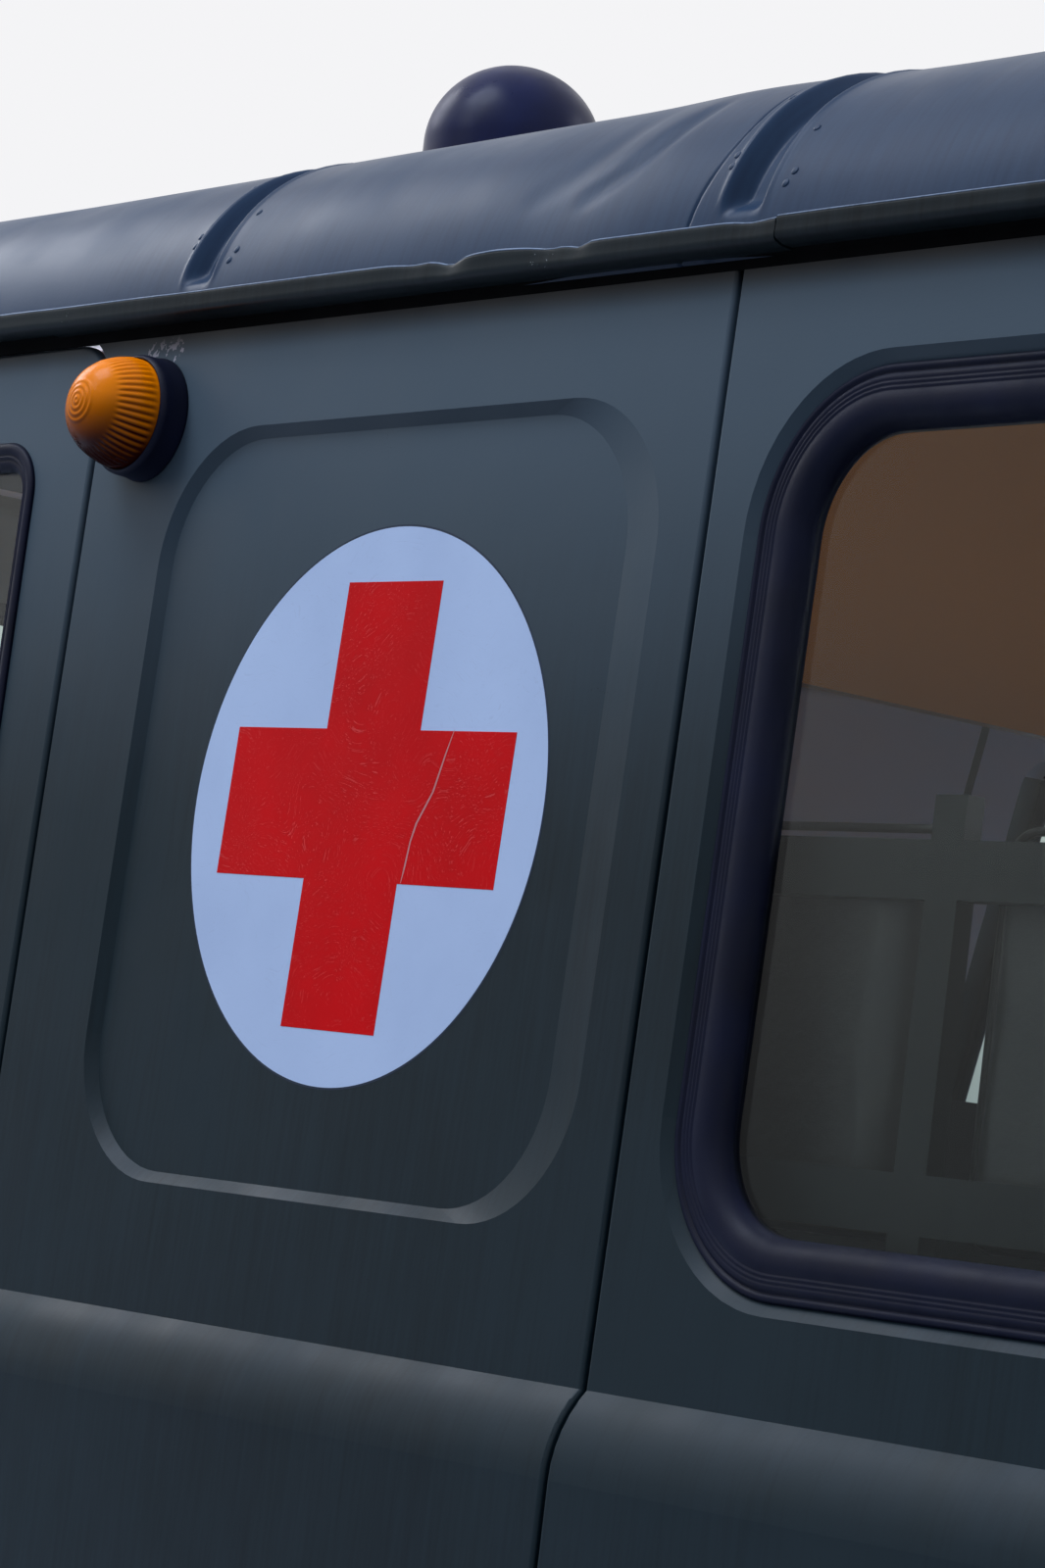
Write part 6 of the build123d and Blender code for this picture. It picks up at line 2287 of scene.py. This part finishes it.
class Studio:
    """Pale floor, soft lamps and the camera of the reference view."""

    lens_mm: float = 104.93
    camera_at: Triple = (2.9828, 2.2891, 1.2161)
    right: Triple = (-0.76355043, 0.63469906, 0.11894473)
    down: Triple = (-0.14632305, 0.00934967, -0.98919268)
    forward: Triple = (-0.62895176, -0.77270284, 0.08573216)
    aim: Triple = (0.3, -0.2, 1.2)
    half_floor: float = 30.0

    def lamp(self, name: str, place: Triple, size: float, power: float, colour: str) -> None:
        """Add one soft square lamp aimed at the middle of the vehicle.

        Args:
            name: Name of the lamp.
            place: Where it hangs, in metres.
            size: Its width, in metres.
            power: Its power, in watts.
            colour: Hex colour of its light.
        """
        light = bpy.data.lights.new(name, "AREA")
        light.energy = power
        light.size = size
        light.color = linear(colour)[:3]
        obj = bpy.data.objects.new(name, light)
        obj.location = place
        way = Vector(self.aim) - Vector(place)
        obj.rotation_euler = way.to_track_quat("-Z", "Y").to_euler()
        bpy.context.scene.collection.objects.link(obj)

    def floor(self) -> None:
        """Add the pale floor."""
        mesh = bpy.data.meshes.new("studio_floor")
        corners = oblong(2 * self.half_floor, 2 * self.half_floor)
        mesh.from_pydata([(x, y, 0.0) for x, y in corners], [], [(0, 1, 2, 3)])
        made = Surface("pale_floor")
        made.set(Base_Color=made.between(self.seen(made.tree), "#26282C", "#C6C8CC"), Roughness=0.8)
        mesh.materials.append(made.material)
        shown("studio_floor", mesh)

    def seen(self, tree: Tree) -> Source:
        """Tell the rays that show the background itself: to the camera, off gloss and through glass.

        Args:
            tree: The tree that asks.

        Returns:
            1 for these rays and 0 for the light that falls on things.
        """
        path = put(tree, "ShaderNodeLightPath").outputs
        direct = {0: path["Is Camera Ray"], 1: path["Is Transmission Ray"]}
        either = put(tree, "ShaderNodeMath", direct, operation="MAXIMUM")
        return put(tree, "ShaderNodeMath", {0: either, 1: path["Is Glossy Ray"]}, operation="MAXIMUM")

    def world(self) -> None:
        """Light everything softly from a bluish sky, lighter above, and show a pale one."""
        world = bpy.data.worlds.new("studio_air")
        world.use_nodes = True
        tree = world.node_tree
        tree.nodes.clear()
        way = put(tree, "ShaderNodeTexCoord").outputs["Generated"]
        height = put(tree, "ShaderNodeSeparateXYZ", {0: way}).outputs[2]
        span = {"Value": height, "From Min": 0.0, "From Max": 0.5, "To Min": 0.02, "To Max": 1.15}
        level = put(tree, "ShaderNodeMapRange", span)
        sky = put(tree, "ShaderNodeBackground", {"Color": linear("#BFD2F6"), "Strength": level})
        rise = put(tree, "ShaderNodeMapRange", {"Value": height, "From Min": 0.0, "From Max": 0.13})
        tones = {"Factor": rise, 6: linear("#9DA4AC"), 7: linear("#F4F4F6")}
        pale = put(tree, "ShaderNodeMix", tones, data_type="RGBA").outputs[2]
        shown_sky = put(tree, "ShaderNodeBackground", {"Color": pale, "Strength": 1.0})
        skies = {0: self.seen(tree), 1: sky, 2: shown_sky}
        mixed = put(tree, "ShaderNodeMixShader", skies)
        put(tree, "ShaderNodeOutputWorld", {"Surface": mixed})
        bpy.context.scene.world = world

    def camera(self) -> None:
        """Place the camera."""
        data = bpy.data.cameras.new("reference_view")
        data.sensor_fit = "AUTO"
        data.sensor_width = 36.0
        data.lens = self.lens_mm
        data.clip_end = 200.0
        camera = bpy.data.objects.new("reference_view", data)
        up, back = -Vector(self.down), -Vector(self.forward)
        frame = Matrix((Vector(self.right), up, back)).transposed().to_4x4()
        frame.translation = Vector(self.camera_at)
        camera.matrix_world = frame
        bpy.context.scene.collection.objects.link(camera)
        bpy.context.scene.camera = camera

    def build(self) -> None:
        """Set up the whole studio."""
        bpy.context.scene.view_settings.view_transform = "Standard"
        self.floor()
        self.world()
        self.camera()
        for name, place, size, power, colour in (
            ("top_light", (3.4, -2.5, 7.0), 3.0, 230.0, "#E2ECFF"),
            ("left_light", (6.5, -3.5, 5.8), 2.5, 70.0, "#E8F0FF"),
            ("front_light", (1.5, -8.0, 6.0), 3.0, 120.0, "#F4F7FF"),
            ("right_light", (-6.5, 2.0, 6.0), 3.5, 90.0, "#EEF3FF"),
            ("cab_light", (0.25, -1.35, 1.95), 0.5, 14.0, "#F0F3FF"),
            ("ward_light", (0.1, 0.9, 1.98), 0.7, 9.0, "#F0F3FF"),
        ):
            self.lamp(name, place, size, power, colour)


def dress_nodes(nodes: dict[str, Object], finishes: Finishes) -> None:
    """Give every CAD node its finish by the start of its name.

    Args:
        nodes: The CAD nodes by name.
        finishes: The finishes.
    """
    table = {
        finishes.army: (
            "nose_panel screen_frame cab_sills cross_panel side_door_surround window_panels rear_frame door_ "
            "drip_rails headlamps"
        ),
        finishes.roof: "roof",
        finishes.inner: "engine_cover seat_frames",
        finishes.board: "partition",
        finishes.frames: "ward_frames",
        finishes.mat: "floor",
        finishes.chassis: "frame_rails cross_members axles leaf_springs fuel_tanks bumpers knuckle_ mirrors",
        finishes.engine: "powertrain",
        finishes.rusty: "exhaust",
        finishes.rubber: "window_seals",
        finishes.glass: "fixed_glass glass_",
        finishes.tyre: "tyre_",
        finishes.wheel: "rim_",
        finishes.amber: "amber_lamps",
        finishes.red_lens: "tail_lamps",
        finishes.navy: "beacon",
        finishes.plastic: "steering_wheel dashboard",
        finishes.vinyl: "seat_cushions ward_cushions",
    }
    for finish, starts in table.items():
        for name in nodes:
            if name.startswith(tuple(starts.split())):
                for place in nodes[name].material_slots:
                    place.material = finish


def main() -> None:
    """Load the frame, build every piece and report it."""
    logging.basicConfig(level=logging.INFO, format="%(name)s: %(message)s")
    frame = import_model()
    finishes = Finishes()
    tools = (finishes, Sweeper(), Repeater())
    Upholstery(*tools).build()
    dress_nodes(frame["nodes"], finishes)
    for maker in (
        Roof, Gutter, Roundel, SideMarker, Beacon, WindowRubber, DoorFurniture, Wipers, Headlamps, RoadWheels,
        CabControls,
    ):
        maker(*tools).build()
    Studio().build()


if __name__ == "__main__":
    main()
